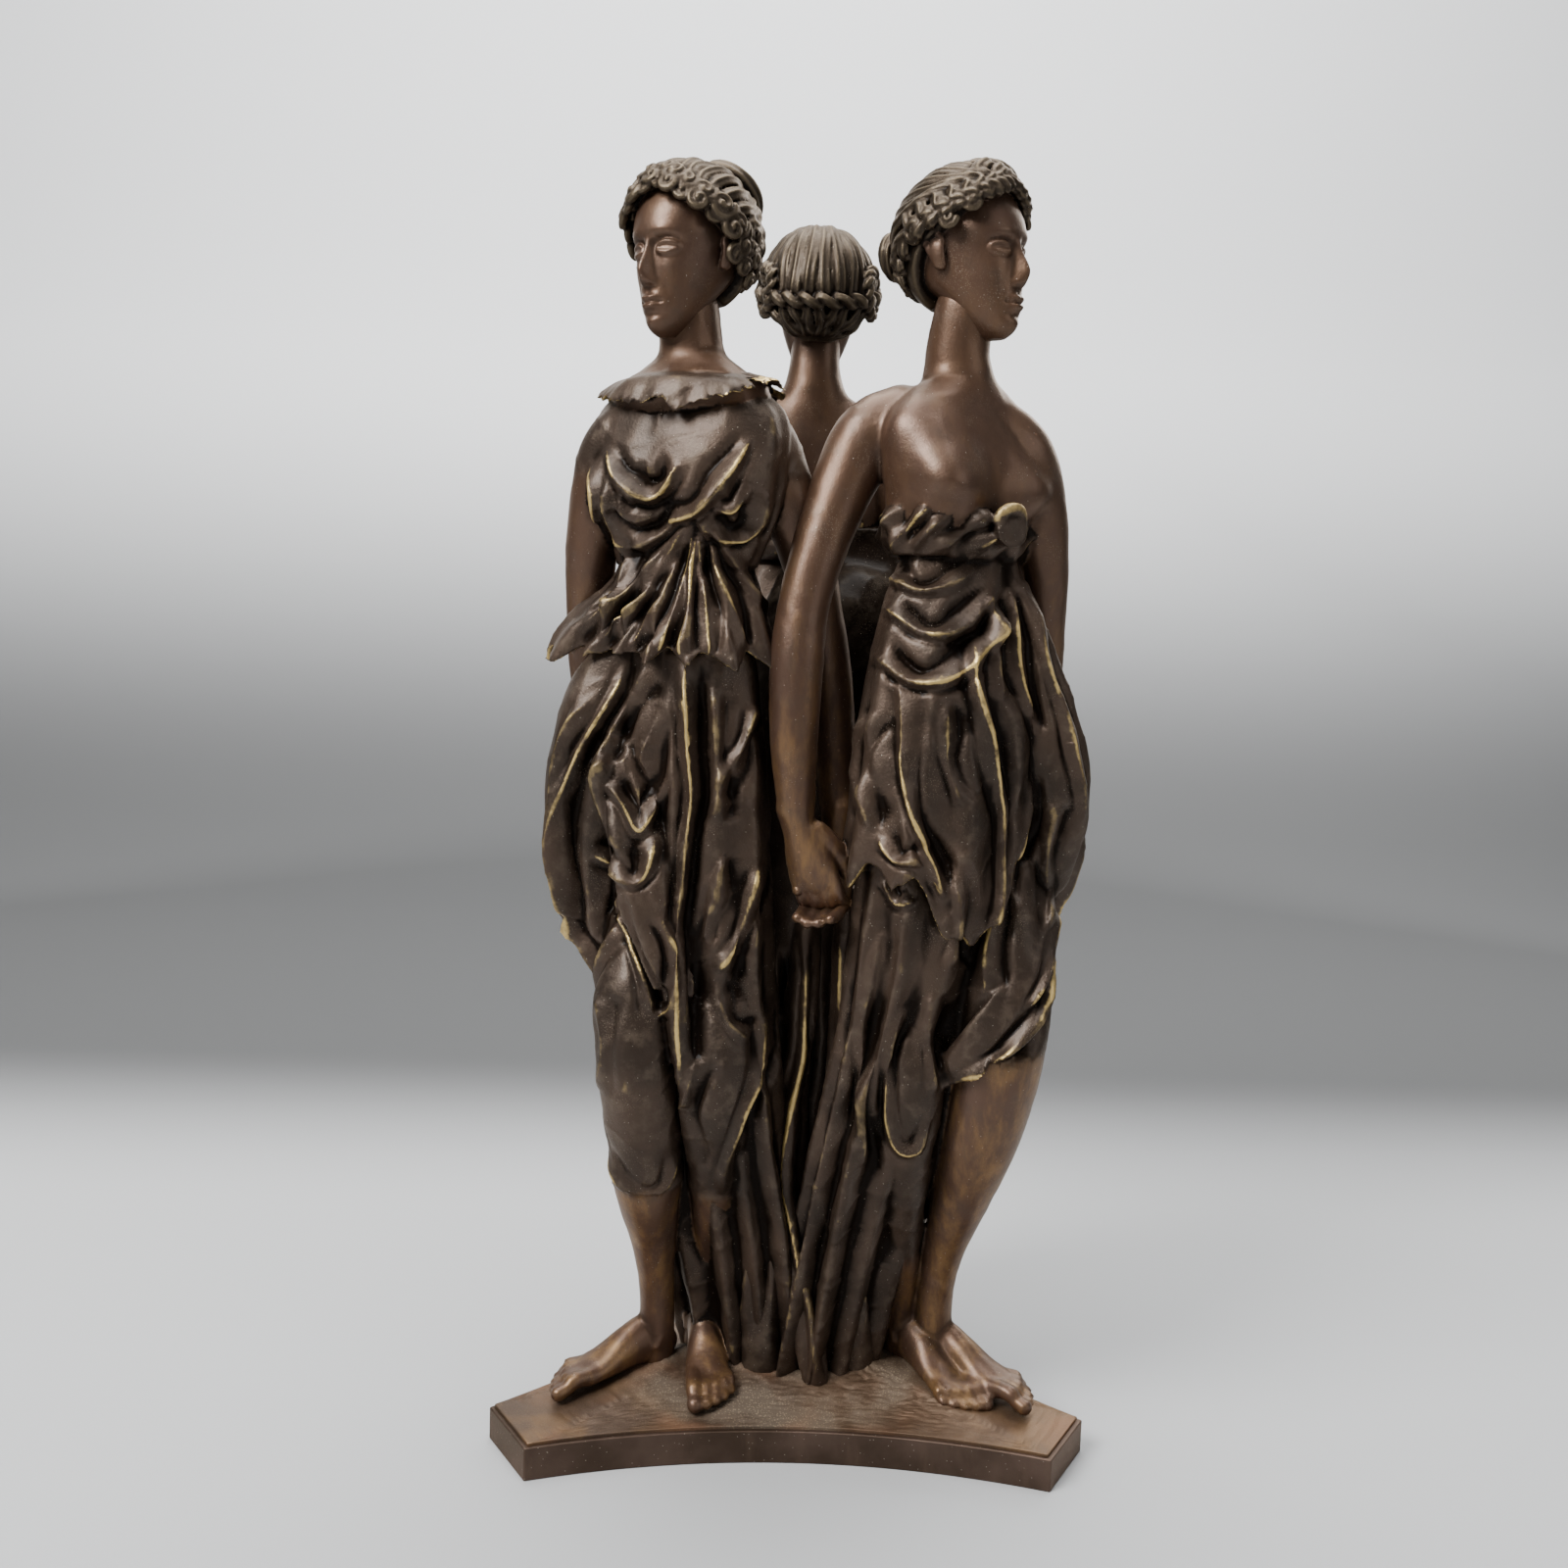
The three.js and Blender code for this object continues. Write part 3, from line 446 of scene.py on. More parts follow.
def carved(mesh, co, carving):
    """Raises folds on the cloth, drawn as strokes [across, up] seen from the facing angle."""
    mesh.vertices.foreach_set("co", co.ravel())
    mesh.update()
    normals = vertex_normals(mesh)
    edges, count = mesh_arrays(mesh)[1:]
    for _ in range(6):
        normals = neighbour_mean(normals, edges, count)
    cloth = 1 - smooth(read_mark(mesh, "skin") * 2)
    gilt = read_mark(mesh, "gilt")
    push = np.zeros(len(co))
    for facing, strokes in carving:
        c, s = math.cos(facing * DEGREE), math.sin(facing * DEGREE)
        across = (co[:, 0] * c + co[:, 1] * s) / MM
        seen = smooth((normals[:, 0] * s - normals[:, 1] * c + 0.05) / 0.35) * cloth
        level = co[:, 2] / MM
        wander = 1.0 * np.sin(level * 0.075 + across * 0.05) + 0.35 * np.sin(level * 0.19 + 1.3)
        height, worn = strokes_on(across + wander, level, strokes, 1 / DEGREE)
        push += FOLD_DEPTH * height * seen
        gilt = np.maximum(gilt, worn * seen)
    write_mark(mesh, "gilt", gilt)
    swell = unevenness(co / MM, 5, 9, 14, 30)
    dents = unevenness(co / MM + 3 * unevenness(co / MM, 8, 5, 25, 40)[:, None], 11, 9, 6, 11)
    creases = 1 - np.abs(unevenness(co / MM, 21, 6, 20, 44)) * 3
    uneven = 0.5 * swell + 0.1 * dents + 0.3 * np.clip(creases, 0, 1) ** 2
    push += cloth * uneven + (1 - cloth) * 0.12 * dents
    return co + normals * (push * MM)[:, None]


def joined(name, forms, voxel, triangles, skin_rounds=10, cloth_rounds=2, carving=()):
    """One closed skin round all the forms, eased where bare parts meet, with its marks."""
    bm = bmesh.new()
    for form in forms:
        bm.from_mesh(form.finished())
    mesh = bpy.data.meshes.new(name)
    bm.to_mesh(mesh)
    bm.free()
    piece = show(bpy.data.objects.new(name, mesh))
    mesh.remesh_voxel_size = voxel
    mesh.remesh_voxel_adaptivity = 0
    mesh.use_remesh_fix_poles = False
    mesh.use_remesh_preserve_volume = False
    mesh.use_remesh_preserve_attributes = True
    bpy.ops.object.voxel_remesh()
    piece = keep_largest(piece)
    mesh = piece.data
    co, edges, count = mesh_arrays(mesh)
    skin = read_mark(mesh, "skin")
    soft = np.clip(skin, 0, 1)[:, None]
    shoulders = soft * smooth((co[:, 2:] / MM - SHOULDER_LEVEL) / SHOULDER_BLEND)
    for round_ in range(skin_rounds):
        amount = 0.5 if round_ < cloth_rounds else 0.5 * (soft if round_ < WHOLE_SKIN_ROUNDS else shoulders)
        co = co + amount * (neighbour_mean(co, edges, count) - co)
    if carving:
        co = carved(mesh, co, carving)
    mesh.vertices.foreach_set("co", co.ravel())
    mesh.update()
    faces = 2 * len(mesh.polygons)
    if faces > triangles:
        decimate = piece.modifiers.new("fewer", "DECIMATE")
        decimate.ratio = triangles / faces
        fewer = bpy.data.meshes.new_from_object(piece.evaluated_get(bpy.context.evaluated_depsgraph_get()))
        piece.modifiers.clear()
        piece.data = fewer
        mesh = fewer
    mesh.shade_smooth()
    weather(mesh)
    return piece


def keep_largest(piece):
    """Removes sealed pockets and crumbs, which are loose shells of the joined skin."""
    name = piece.name
    bpy.ops.mesh.separate(type="LOOSE")
    shells = sorted(bpy.context.selected_objects, key=lambda o: len(o.data.vertices))
    for crumb in shells[:-1]:
        bpy.data.objects.remove(crumb)
    shells[-1].name = name
    return show_only(shells[-1])


def weather(mesh):
    """Marks the crests, which are rubbed, and the hollows, which hold dust and dark patina and are also
    darkened as painted shade.
    """
    co, edges, count = mesh_arrays(mesh)
    normals = vertex_normals(mesh)
    step = np.median(np.linalg.norm(co[edges[:, 0]] - co[edges[:, 1]], axis=1))
    eased = co
    for round_ in range(BROAD_ROUNDS):
        eased = neighbour_mean(eased, edges, count)
        if round_ == FINE_ROUND:
            fine = ((co - eased) * normals).sum(1)
        if round_ == MIDDLE_ROUND:
            middle = ((co - eased) * normals).sum(1)
    broad = ((co - eased) * normals).sum(1)
    crest = neighbour_mean(fine[:, None], edges, count)[:, 0]
    write_mark(mesh, "crest", crest / (0.30 * step) * 0.5 + middle / (0.9 * step) * 0.5)
    write_mark(mesh, "hollow", -(broad / (1.6 * step)))
    write_mark(mesh, "proud", broad / (2.2 * step))


# Feet, hands and heads

# Heel to toes: [x, y, z, half width, half depth]
FOOT = [
    [0, 4, 6.0, 5.6, 6.0],
    [0, -3, 9.5, 6.6, 10.0],
    [0, -12, 8.4, 6.9, 8.4],
    [0, -22, 5.8, 8.2, 5.8],
    [0, -31, 4.2, 9.0, 4.0],
    [0, -35, 3.6, 8.2, 3.0],
]


def foot_forms(heel, turn, drop, inner):
    """A foot from heel to toes. inner is 1 where the big toe is on the +X side, else -1."""
    forms = [limb(FOOT, 48, 60)]
    toes = [(6.0, -45.5, 3.1), (1.5, -45, 2.2), (-2.3, -43, 2.05), (-5.7, -40.4, 1.95), (-8.6, -37, 1.8)]
    for x, tip, r in toes:
        forms.append(limb([
            [x * inner * 0.88, -28, 5.0, r], [x * inner, (tip - 31) / 2, 5.4, r * 1.05],
            [x * inner, tip + 4, 3.6, r * 0.9], [x * inner, tip, 2.6, r * 1.05],
        ], 18, 26))
    for side in (-1, 1):
        forms.append(limb([[6.4 * side, -1, 12, 2.2], [6.2 * side, -3, 8, 2.2]], 14, 14))
    for form in forms:
        form.moved(nod=drop).moved(turn=turn, place=heel).marked(skin=1)
    return forms


def hand_forms(wrist, along, palm, thumb=1, curl=1.0, size=1.3):
    """A hand from the wrist. along points to the fingers and palm is the way the palm faces."""
    along = unit(np.asarray(along, float))
    palm = unit(np.asarray(palm, float) - along * np.dot(palm, along))
    across = np.cross(palm, along)
    forms = [limb([[0, 0, 5, 5.0, 5.0], [0, 0, -2, 5.0, 4.2], [0, 0, -9, 6.6, 3.6],
                   [0, 0.4, -16, 7.2, 3.1], [0, 0.6, -19, 6.6, 2.6]], 32, 40)]
    for k, reach in enumerate((0.94, 1.05, 1.0, 0.84)):
        x = (k - 1.5) * 3.6 * thumb
        forms.append(limb([
            [x, 0.2, -14, 2.0], [x, 0.4, -18, 2.0], [x * 1.02, 1.0, -18 - 5.6 * reach, 1.85],
            [x * 0.98, 1.4 + 3.4 * curl, -18 - 9.0 * reach, 1.75],
            [x * 0.9, 2 + 6.4 * curl, -18 - 10.5 * reach, 1.6],
        ], 16, 34))
    forms.append(limb([[-4.6 * thumb, 0.8, -3, 2.9], [-7.4 * thumb, 2.6, -9, 2.7],
                       [-8.0 * thumb, 4.8, -15, 2.3], [-6.6 * thumb, 6.6, -20.5, 1.9]], 16, 30))
    frame_ = np.stack([across, palm, -along]) * size
    for form in forms:
        form.points = form.points @ frame_ + np.asarray(wrist, float)
        form.marked(skin=1)
    return forms


# Skull, crown to chin: [level, front, back, half width]
SKULL = [
    [29, 1, 8, 5],
    [27, -6, 14, 9.6],
    [22.5, -12.4, 18.4, 13.6],
    [15, -17.9, 21, 16.6],
    [7, -20.4, 21.6, 17.4],
    [1.5, -19.8, 21, 16.8],
    [-4, -19.5, 19, 15.8],
    [-10, -19.4, 15, 14.4],
    [-15, -19.3, 9, 12.6],
    [-20, -19.0, 3, 10.4],
    [-24.5, -18.4, -1, 7.8],
    [-28, -16.9, -4, 5.0],
    [-30, -14.2, -7, 2.6],
]


def face_push(x, z):
    """How far the face stands forward of the skull at a place across and up."""
    off = np.abs(x)
    length = spline([[0.0, 1.8], [0.8, 1.6], [1.9, 1.6], [3.2, 1.75], [4.7, 2.0], [5.3, 2.3], [3.8, 2.4],
                     [0, 2.2]],
                    (5.0 - z) / 18.6)
    nose = length[:, 0] * np.exp(-np.abs(x / length[:, 1]) ** 2.3)
    nose = nose * smooth((6 - z) / 4) * smooth((z + 13.6) / 1.5)
    wings = 1.3 * bump(off - 2.5, 1.2) * bump(z + 11.5, 1.5) * smooth((z + 13.5) / 1.2)
    socket = (-1.8 * bump(off - 6.9, 4.3) * bump(z - 0.9, 3.0)
              - 0.7 * bump(off - 3.2, 1.6) * bump(z - 1.5, 2.6))
    ex, ez = (off - 7.3) / 4.3, (z + 0.3) / 2.9
    ball = 2.2 * np.sqrt(np.clip(1 - ex * ex - ez * ez, 0, 1))
    span = np.clip(1 - ((off - 7.3) / 3.7) ** 2, 0, 1)
    inside = smooth((1.35 * span - 0.1 - z) / 0.3) * smooth((z + 0.35 + 1.15 * span) / 0.3) * (span > 0)
    lids = (-0.7 * inside - 0.5 * bump(z - 2.5 - 0.9 * span, 0.55) * (span > 0)
            + 0.5 * bump(z - 0.6 - 1.35 * span, 0.5) * (span > 0))
    brow = 0.6 * bump(off - 7.0, 4.4) * bump(z - 5.6 + 0.05 * (off - 6.5) ** 2, 1.8)
    cheek = 0.9 * bump(off - 9.5, 4.4) * bump(z + 7.5, 4.6)
    muzzle = 1.0 * bump(x, 7) * bump(z + 18, 5)
    bow = 0.35 * bump(off - 1.3, 0.9)
    upper = (1.3 + bow) * bump(z + 16.8, 1.0) * smooth((4.8 - off) / 2.4)
    lower = 1.7 * bump(z + 19.7, 1.25) * smooth((4.3 - off) / 2.6)
    slit = -1.15 * bump(z + 18.5 - 0.25 * bump(off - 5, 1.5), 0.42) * smooth((6.0 - off) / 1.2)
    philtrum = -0.35 * bump(x, 0.75) * bump(z + 15.3, 1.1)
    under = -0.8 * bump(x, 5) * bump(z + 22.7, 1.3)
    chin = 1.3 * bump(x, 4.2) * bump(z + 25.6, 2.7)
    fold = -0.35 * bump(off - 6.2 + 0.25 * (z + 14), 0.8) * bump(z + 14.5, 2.6)
    return (nose + wings + socket + ball + lids + brow + cheek + muzzle + upper + lower + slit + philtrum
            + under + chin + fold)


def skull_form():
    form = Form(460 * fineness(), 380 * fineness())
    cap = 0.03
    at = spline(SKULL, np.clip(middle_share(form.share, cap), 0, 1))
    radius = rounded_ends(form.share, cap)
    turn = (form.angle - 22 * np.sin(form.angle * DEGREE)) * DEGREE
    middle = np.where(at[:, 0] > -8, 2.0, 2.0 + (at[:, 0] + 8) * 0.62)
    ahead = np.maximum(middle - at[:, 1], 1)
    behind = np.maximum(at[:, 2] - middle, 1)
    x = radius * at[:, 3] * np.sign(np.sin(turn)) * np.abs(np.sin(turn)) ** 0.92
    cos = np.cos(turn)
    y = middle - radius * np.where(cos > 0, ahead, behind) * np.sign(cos) * np.abs(cos) ** 0.92
    front = smooth((cos - 0.08) / 0.35) * radius
    y = y - front * face_push(x, at[:, 0])
    form.points = np.stack([x, y, at[:, 0]], axis=1)
    return form.marked(skin=1)


def ear_forms(side):
    ear = limb([[17.0, 2.6, 4.2, 1.6, 2.8], [18.4, 3.0, 1.5, 1.5, 3.6], [18.2, 2.2, -2.5, 1.5, 3.0],
                [17.0, 1.2, -5.8, 1.5, 2.0]], 28, 36)
    rim = limb([[17.6, 0.2, 1.2, 0.8], [18.6, 0.6, 4.0, 0.85], [19.2, 3.0, 5.6, 0.9], [19.6, 5.6, 4.0, 0.9],
                [19.4, 6.0, 0.8, 0.85], [18.6, 4.4, -2.4, 0.8], [17.8, 2.6, -5.6, 1.1]], 14, 60,
               side=(1, 0, 0.2))
    for form in (ear, rim):
        form.points[:, 0] *= side
        form.marked(skin=1)
    return [ear, rim]


HAIR_MIDDLE = np.array([0, 2.6, 4.0])
HAIR_REACH = np.array([21.8, 24.6, 25.4])
CURL_STEPS, ROPE_STEPS, COIL_STEPS = 22, 44, 48


def scalp(directions, lift=0.0):
    """Points on the hair's round mass in the given directions, raised by lift."""
    return HAIR_MIDDLE + unit(directions) * (HAIR_REACH + np.asarray(lift).reshape(-1, 1))


def toward(azimuth, height):
    """Direction on the head: azimuth in degrees from the face to her left, height in degrees."""
    a, h = np.asarray(azimuth, float) * DEGREE, np.asarray(height, float) * DEGREE
    return np.stack([np.sin(a) * np.cos(h), -np.cos(a) * np.cos(h), np.sin(h)], axis=-1)


def strand_relief(count, depth, twist=0.0):
    return lambda angle, t: depth * np.cos(count * angle * DEGREE + twist * t)


def lock(start, end, width, thick, sway=0.0, waves=2.0, phase=0.0, lift=(0.5, 1.6, 0.5), strands=6,
         depth=0.32, via=None, samples=22):
    """A lock of hair over the scalp between two directions, each (azimuth, height)."""
    t = np.linspace(0, 1, samples)
    points = [start, via, end] if via is not None else [start, end]
    stops = np.stack([toward(*p) for p in points])
    if len(stops) == 3:
        line = spline(stops, t)
    else:
        line = stops[0] * (1 - t)[:, None] + stops[1] * t[:, None]
    line = unit(line)
    across = np.cross(line, np.gradient(line, axis=0))
    across /= np.linalg.norm(across, axis=1)[:, None] + 1e-9
    line = line + across * (sway * np.sin(2 * math.pi * waves * t + phase) * smooth(t / 0.15))[:, None]
    raised = spline([[v] for v in lift], t)[:, 0] + 0.35 * np.cos(4 * math.pi * waves * t + 2 * phase)
    place = scalp(line, raised)
    size = smooth((t + 0.12) / 0.3) * smooth((1.12 - t) / 0.3)
    rows = np.column_stack([place, width * (0.35 + 0.65 * size), thick * (0.4 + 0.6 * size)])
    return swept(rows, unit(line), 30, int(26 + 2.4 * samples), strand_relief(strands, depth, 5.0))


def swept(rows, normals, columns, rings, relief):
    """A strand of hair along rows [x, y, z, half width, half depth]. Its depth follows normals."""
    form = Form(columns * fineness() ** 0.5, rings * fineness() ** 0.5)
    cap = 0.05
    t = middle_share(form.share, cap)
    clipped = np.clip(t, 0, 1)
    at = spline(rows, clipped)
    along = direction(rows, t)
    u = unit(np.cross(along, spline(normals, clipped)))
    v = np.cross(u, along)
    shrink, overhang = end_caps(t, cap)
    push = overhang * at[:, 4]
    turn = form.angle * DEGREE
    out = relief(form.angle, clipped)
    form.points = (at[:, :3] + along * push[:, None]
                   + u * (shrink * (at[:, 3] + out) * np.cos(turn))[:, None]
                   + v * (shrink * (at[:, 4] + out) * np.sin(turn))[:, None])
    return form.marked(hair=1)


def curl_form(azimuth, height, size, turns=1.5, hand=1, lift=1.2):
    """A snail curl that lies on the scalp."""
    middle = scalp(toward([azimuth], [height]), lift)[0]
    n = toward(azimuth, height)
    u = unit(np.cross([0, 0, 1], n))
    v = np.cross(n, u)
    t = np.linspace(0, 1, CURL_STEPS)
    a = 2 * math.pi * turns * t * hand
    r = size * (1.0 - 0.82 * t)
    place = (middle + np.outer(r * np.cos(a), u) + np.outer(r * np.sin(a), v)
             + np.outer(0.9 * t * size * 0.5, n))
    tube = size * (0.36 - 0.12 * t)
    rows = np.column_stack([place, tube, tube])
    return swept(rows, np.tile(n, (CURL_STEPS, 1)), 20, 76, strand_relief(4, 0.14, 8.0))


def rope_forms(path, thick, turns, strands=2):
    """Twisted tubes round a path of points on the head, as in a plait."""
    path = np.asarray(path, float)
    t = np.linspace(0, 1, ROPE_STEPS)
    line = spline(path, t)
    along = unit(np.gradient(line, axis=0))
    out_of = line - HAIR_MIDDLE
    out_of = unit(out_of - along * (out_of * along).sum(1)[:, None])
    side = np.cross(along, out_of)
    forms = []
    for k in range(strands):
        a = 2 * math.pi * (turns * t + k / strands)
        place = line + thick * 0.62 * (out_of * np.cos(a)[:, None] + side * np.sin(a)[:, None])
        tube = np.full(ROPE_STEPS, thick * 0.72)
        rows = np.column_stack([place, tube, tube])
        forms.append(swept(rows, out_of, 22, 120, strand_relief(5, 0.2, 9.0)))
    return forms


def hair_cap(full=1.0):
    """The mass under the locks, cut back from the face."""
    form = Form(200 * fineness(), 150 * fineness())
    co = form.points
    azimuth = np.arctan2(co[:, 0], -co[:, 1]) / DEGREE
    height = np.arcsin(np.clip(co[:, 2], -1, 1)) / DEGREE
    line = 43 - 47 * np.clip(np.abs(azimuth) / 95, 0, 1) ** 1.4 - 60 * smooth((np.abs(azimuth) - 92) / 60)
    inside = smooth((height - line + 5) / 10)
    form.points = HAIR_MIDDLE + co * HAIR_REACH * full * (0.55 + 0.45 * inside)[:, None]
    return form.marked(hair=1)


def collared_hair():
    """Curls round the face, waves over the crown and a coil high at the back."""
    forms = [hair_cap(0.985)]
    knot = (180, 34)
    for k, azimuth in enumerate(np.linspace(-96, 96, 17)):
        height = 47 - 47 * (abs(azimuth) / 96) ** 1.4
        via = (azimuth * 1.12, height * 0.3 + 50 - 0.42 * abs(azimuth))
        forms.append(lock((azimuth, height), knot, 2.6, 2.1, sway=0.055, waves=2.4, phase=0.9 * k,
                          via=via, lift=(0.2, 1.7, 1.0)))
    for k, azimuth in enumerate(np.linspace(-118, 118, 9)):
        if abs(azimuth) > 80:
            forms.append(lock((azimuth, -4), knot, 2.6, 1.9, sway=0.05, waves=2, phase=k,
                              via=(azimuth * 1.22, 12)))
    for side in (-1, 1):
        for k, (azimuth, height) in enumerate(((104, -12), (122, -22), (142, -30), (164, -34))):
            forms.append(lock((azimuth * side, height), (176 * side, 22), 2.5, 1.7, sway=0.05, phase=k,
                              via=(azimuth * 1.1 * side, height * 0.2 + 4)))
    for k, azimuth in enumerate(np.linspace(-94, 94, 15)):
        height = 46 - 53 * (abs(azimuth) / 94) ** 1.4
        forms.append(curl_form(azimuth, height, 3.8 + 0.6 * (k % 2), hand=1 if azimuth >= 0 else -1,
                               lift=1.4 + 0.8 * (k % 2)))
    for k, azimuth in enumerate(np.linspace(-88, 88, 13)):
        height = 58 - 50 * (abs(azimuth) / 88) ** 1.4
        forms.append(curl_form(azimuth, height, 4.0 + 0.5 * (k % 3), hand=-1 if azimuth >= 0 else 1,
                               lift=2.2))
    for side in (-1, 1):
        for azimuth, height, size in ((86, -14, 3.8), (100, -22, 3.6), (104, -6, 3.8), (116, -14, 3.8),
                                      (118, -32, 3.4),
                                      (134, -24, 3.6), (112, 10, 3.4)):
            forms.append(curl_form(azimuth * side, height, size, hand=side, lift=1.0))
    return forms + coil_forms((180, 42), 10.6, 4.6, lift=2.0)


def coil_forms(direction, size, thick, turns=1.9, lift=3.0):
    """A coiled knot of twisted hair."""
    n = toward(*direction)
    middle = scalp(n[None], lift)[0]
    u = unit(np.cross([1.0, 0, 0], n))
    v = np.cross(n, u)
    t = np.linspace(0, 1, COIL_STEPS)
    a = 2 * math.pi * turns * t
    r = size * (1 - 0.78 * t)
    place = middle + np.outer(r * np.cos(a), u) + np.outer(r * np.sin(a), v) + np.outer(5.2 * t, n)
    tube = thick * (1 - 0.25 * t)
    rows = np.column_stack([place, tube, tube])
    coil = swept(rows, np.tile(n, (COIL_STEPS, 1)), 40, 190, strand_relief(9, 0.36, 26.0))
    core = limb([[*(middle - n * 4), size * 0.8], [*(middle + n * 1.5), size * 0.75]], 30, 24, side=u)
    return [coil, core.marked(hair=1)]


def swept_hair():
    """Wavy hair combed back from a raised crest over the forehead to a low bun."""
    forms = [hair_cap(0.985)]
    knot = (180, 4)
    for k, azimuth in enumerate(np.linspace(-98, 98, 19)):
        height = 45 - 41 * (abs(azimuth) / 98) ** 1.4
        via = (azimuth * 1.12, height * 0.25 + 48 - 0.36 * abs(azimuth))
        forms.append(lock((azimuth, height - 3), knot, 2.7, 2.3, sway=0.07, waves=3.0, phase=0.35 * k,
                          via=via, lift=(1.8, 2.2, 0.6)))
    for side in (-1, 1):
        for k, (azimuth, height) in enumerate(((106, 4), (118, -8), (132, -20), (150, -30), (168, -36))):
            forms.append(lock((azimuth * side, height), (172 * side, 0), 2.6, 1.9, sway=0.06, waves=1.6,
                              phase=k,
                              via=(azimuth * 1.08 * side, height * 0.4)))
        forms.append(curl_form(74 * side, 10, 3.2, hand=side, lift=1.4))
        forms.append(curl_form(56 * side, 22, 3.4, hand=side, lift=1.8))
    for k, azimuth in enumerate((-34, -16, 0, 16, 34)):
        forms.append(lock((azimuth, 44), (azimuth * 1.5 + 14, 78), 3.4, 2.8, sway=0.10, waves=1.2, phase=k,
                          lift=(1.6, 3.4, 1.2), samples=14))
    return forms + coil_forms((180, 4), 8.6, 3.9, turns=1.7)


def banded_hair():
    """Smooth strands from the crown to a twisted band of hair, with loops of plaits at both sides."""
    forms = [hair_cap(0.99)]
    for k, azimuth in enumerate(np.linspace(-180, 165, 24)):
        low = 20 if abs(azimuth) < 80 else (-6 if abs(azimuth) < 110 else -18)
        forms.append(lock((azimuth, 84), (azimuth + 4, low), 3.3, 1.7, sway=0.02, waves=1.2, phase=k,
                          lift=(0.0, 0.7, 0.4), strands=7, depth=0.3))
    back = [scalp(toward([a], [h]), 1.6)[0] for a, h in
            ((-84, 2), (-110, -6), (-140, -14), (180, -18), (140, -14), (110, -6), (84, 2))]
    forms += rope_forms(back, 2.6, 6.5)
    for side in (-1, 1):
        loop = [scalp(toward([a * side], [h]), lift)[0] for a, h, lift in
                ((96, 4, 1.5), (112, 16, 2.6), (128, 6, 3.0), (122, -14, 2.6), (104, -20, 2.0),
                 (92, -6, 1.5))]
        forms += rope_forms(loop, 2.0, 6)
        for k, (azimuth, height) in enumerate(((70, 8), (58, 18), (40, 24), (20, 28))):
            forms.append(lock((azimuth * side, height), (118 * side, 2), 2.4, 2.0, sway=0.05, phase=k,
                              via=((azimuth * 0.5 + 52) * side, height * 0.5 + 16), lift=(1.0, 2.0, 1.0)))
    for azimuth in np.linspace(118, 242, 9):
        forms.append(lock((azimuth, -18), (180 + (azimuth - 180) * 0.55, -52), 2.2, 1.6, sway=0.03, waves=1,
                          phase=azimuth, lift=(1.2, 0.6, -1.5), samples=14))
    return forms


# The women

def woman_frame(forms, turn, place):
    return [form.moved(turn=turn, place=place) for form in forms]


def cloth_limb(rows, folds, depth, columns=90, rings=120, twist=1.0, worn=0.8, **options):
    """A thick fold of cloth with lesser folds along it."""
    def relief(angle, t):
        phase = folds * angle * DEGREE / 2 + twist * 2 * math.pi * t
        wave = 1 - np.abs(np.sin(phase)) ** 0.8
        return depth * np.sin(math.pi * np.clip(t, 0.02, 0.98)) ** 0.5 * (wave - 0.35)
    form = limb(rows, columns, rings, relief=relief, **options)
    phase = folds * form.angle * DEGREE / 2 + twist * 2 * math.pi * form.t
    form.marks["gilt"] = worn * bump(np.sin(phase), 0.22) * smooth((form.t - 0.05) / 0.2)
    return form


def bare_below(level, blend=8):
    """The mark of a limb that is bare up to the level and covered above it."""
    return lambda points: smooth((level - points[:, 2]) / blend)


def arms(*tables, skin=1):
    return [limb(rows, 80, 190).marked(skin=skin) for rows in tables]


def ragged(count, size, seed):
    """An uneven zigzag along a hem, as a function of the angle."""
    random = np.random.default_rng(seed)
    lows = np.cumsum(0.6 + random.random(count))
    lows = lows / lows[-1] * 360 - 180
    sizes = size * (0.45 + 0.75 * random.random(count))

    def edge(angle):
        k = np.searchsorted(lows, angle) % count
        after = lows[k]
        before = np.where(k == 0, lows[-1] - 360, lows[k - 1])
        after = np.where(after < angle, after + 360, after)
        phase = (angle - before) / np.maximum(after - before, 1e-6)
        return sizes[k] * (1 - np.abs(phase - 0.62) / np.where(phase < 0.62, 0.62, 0.38))
    return edge


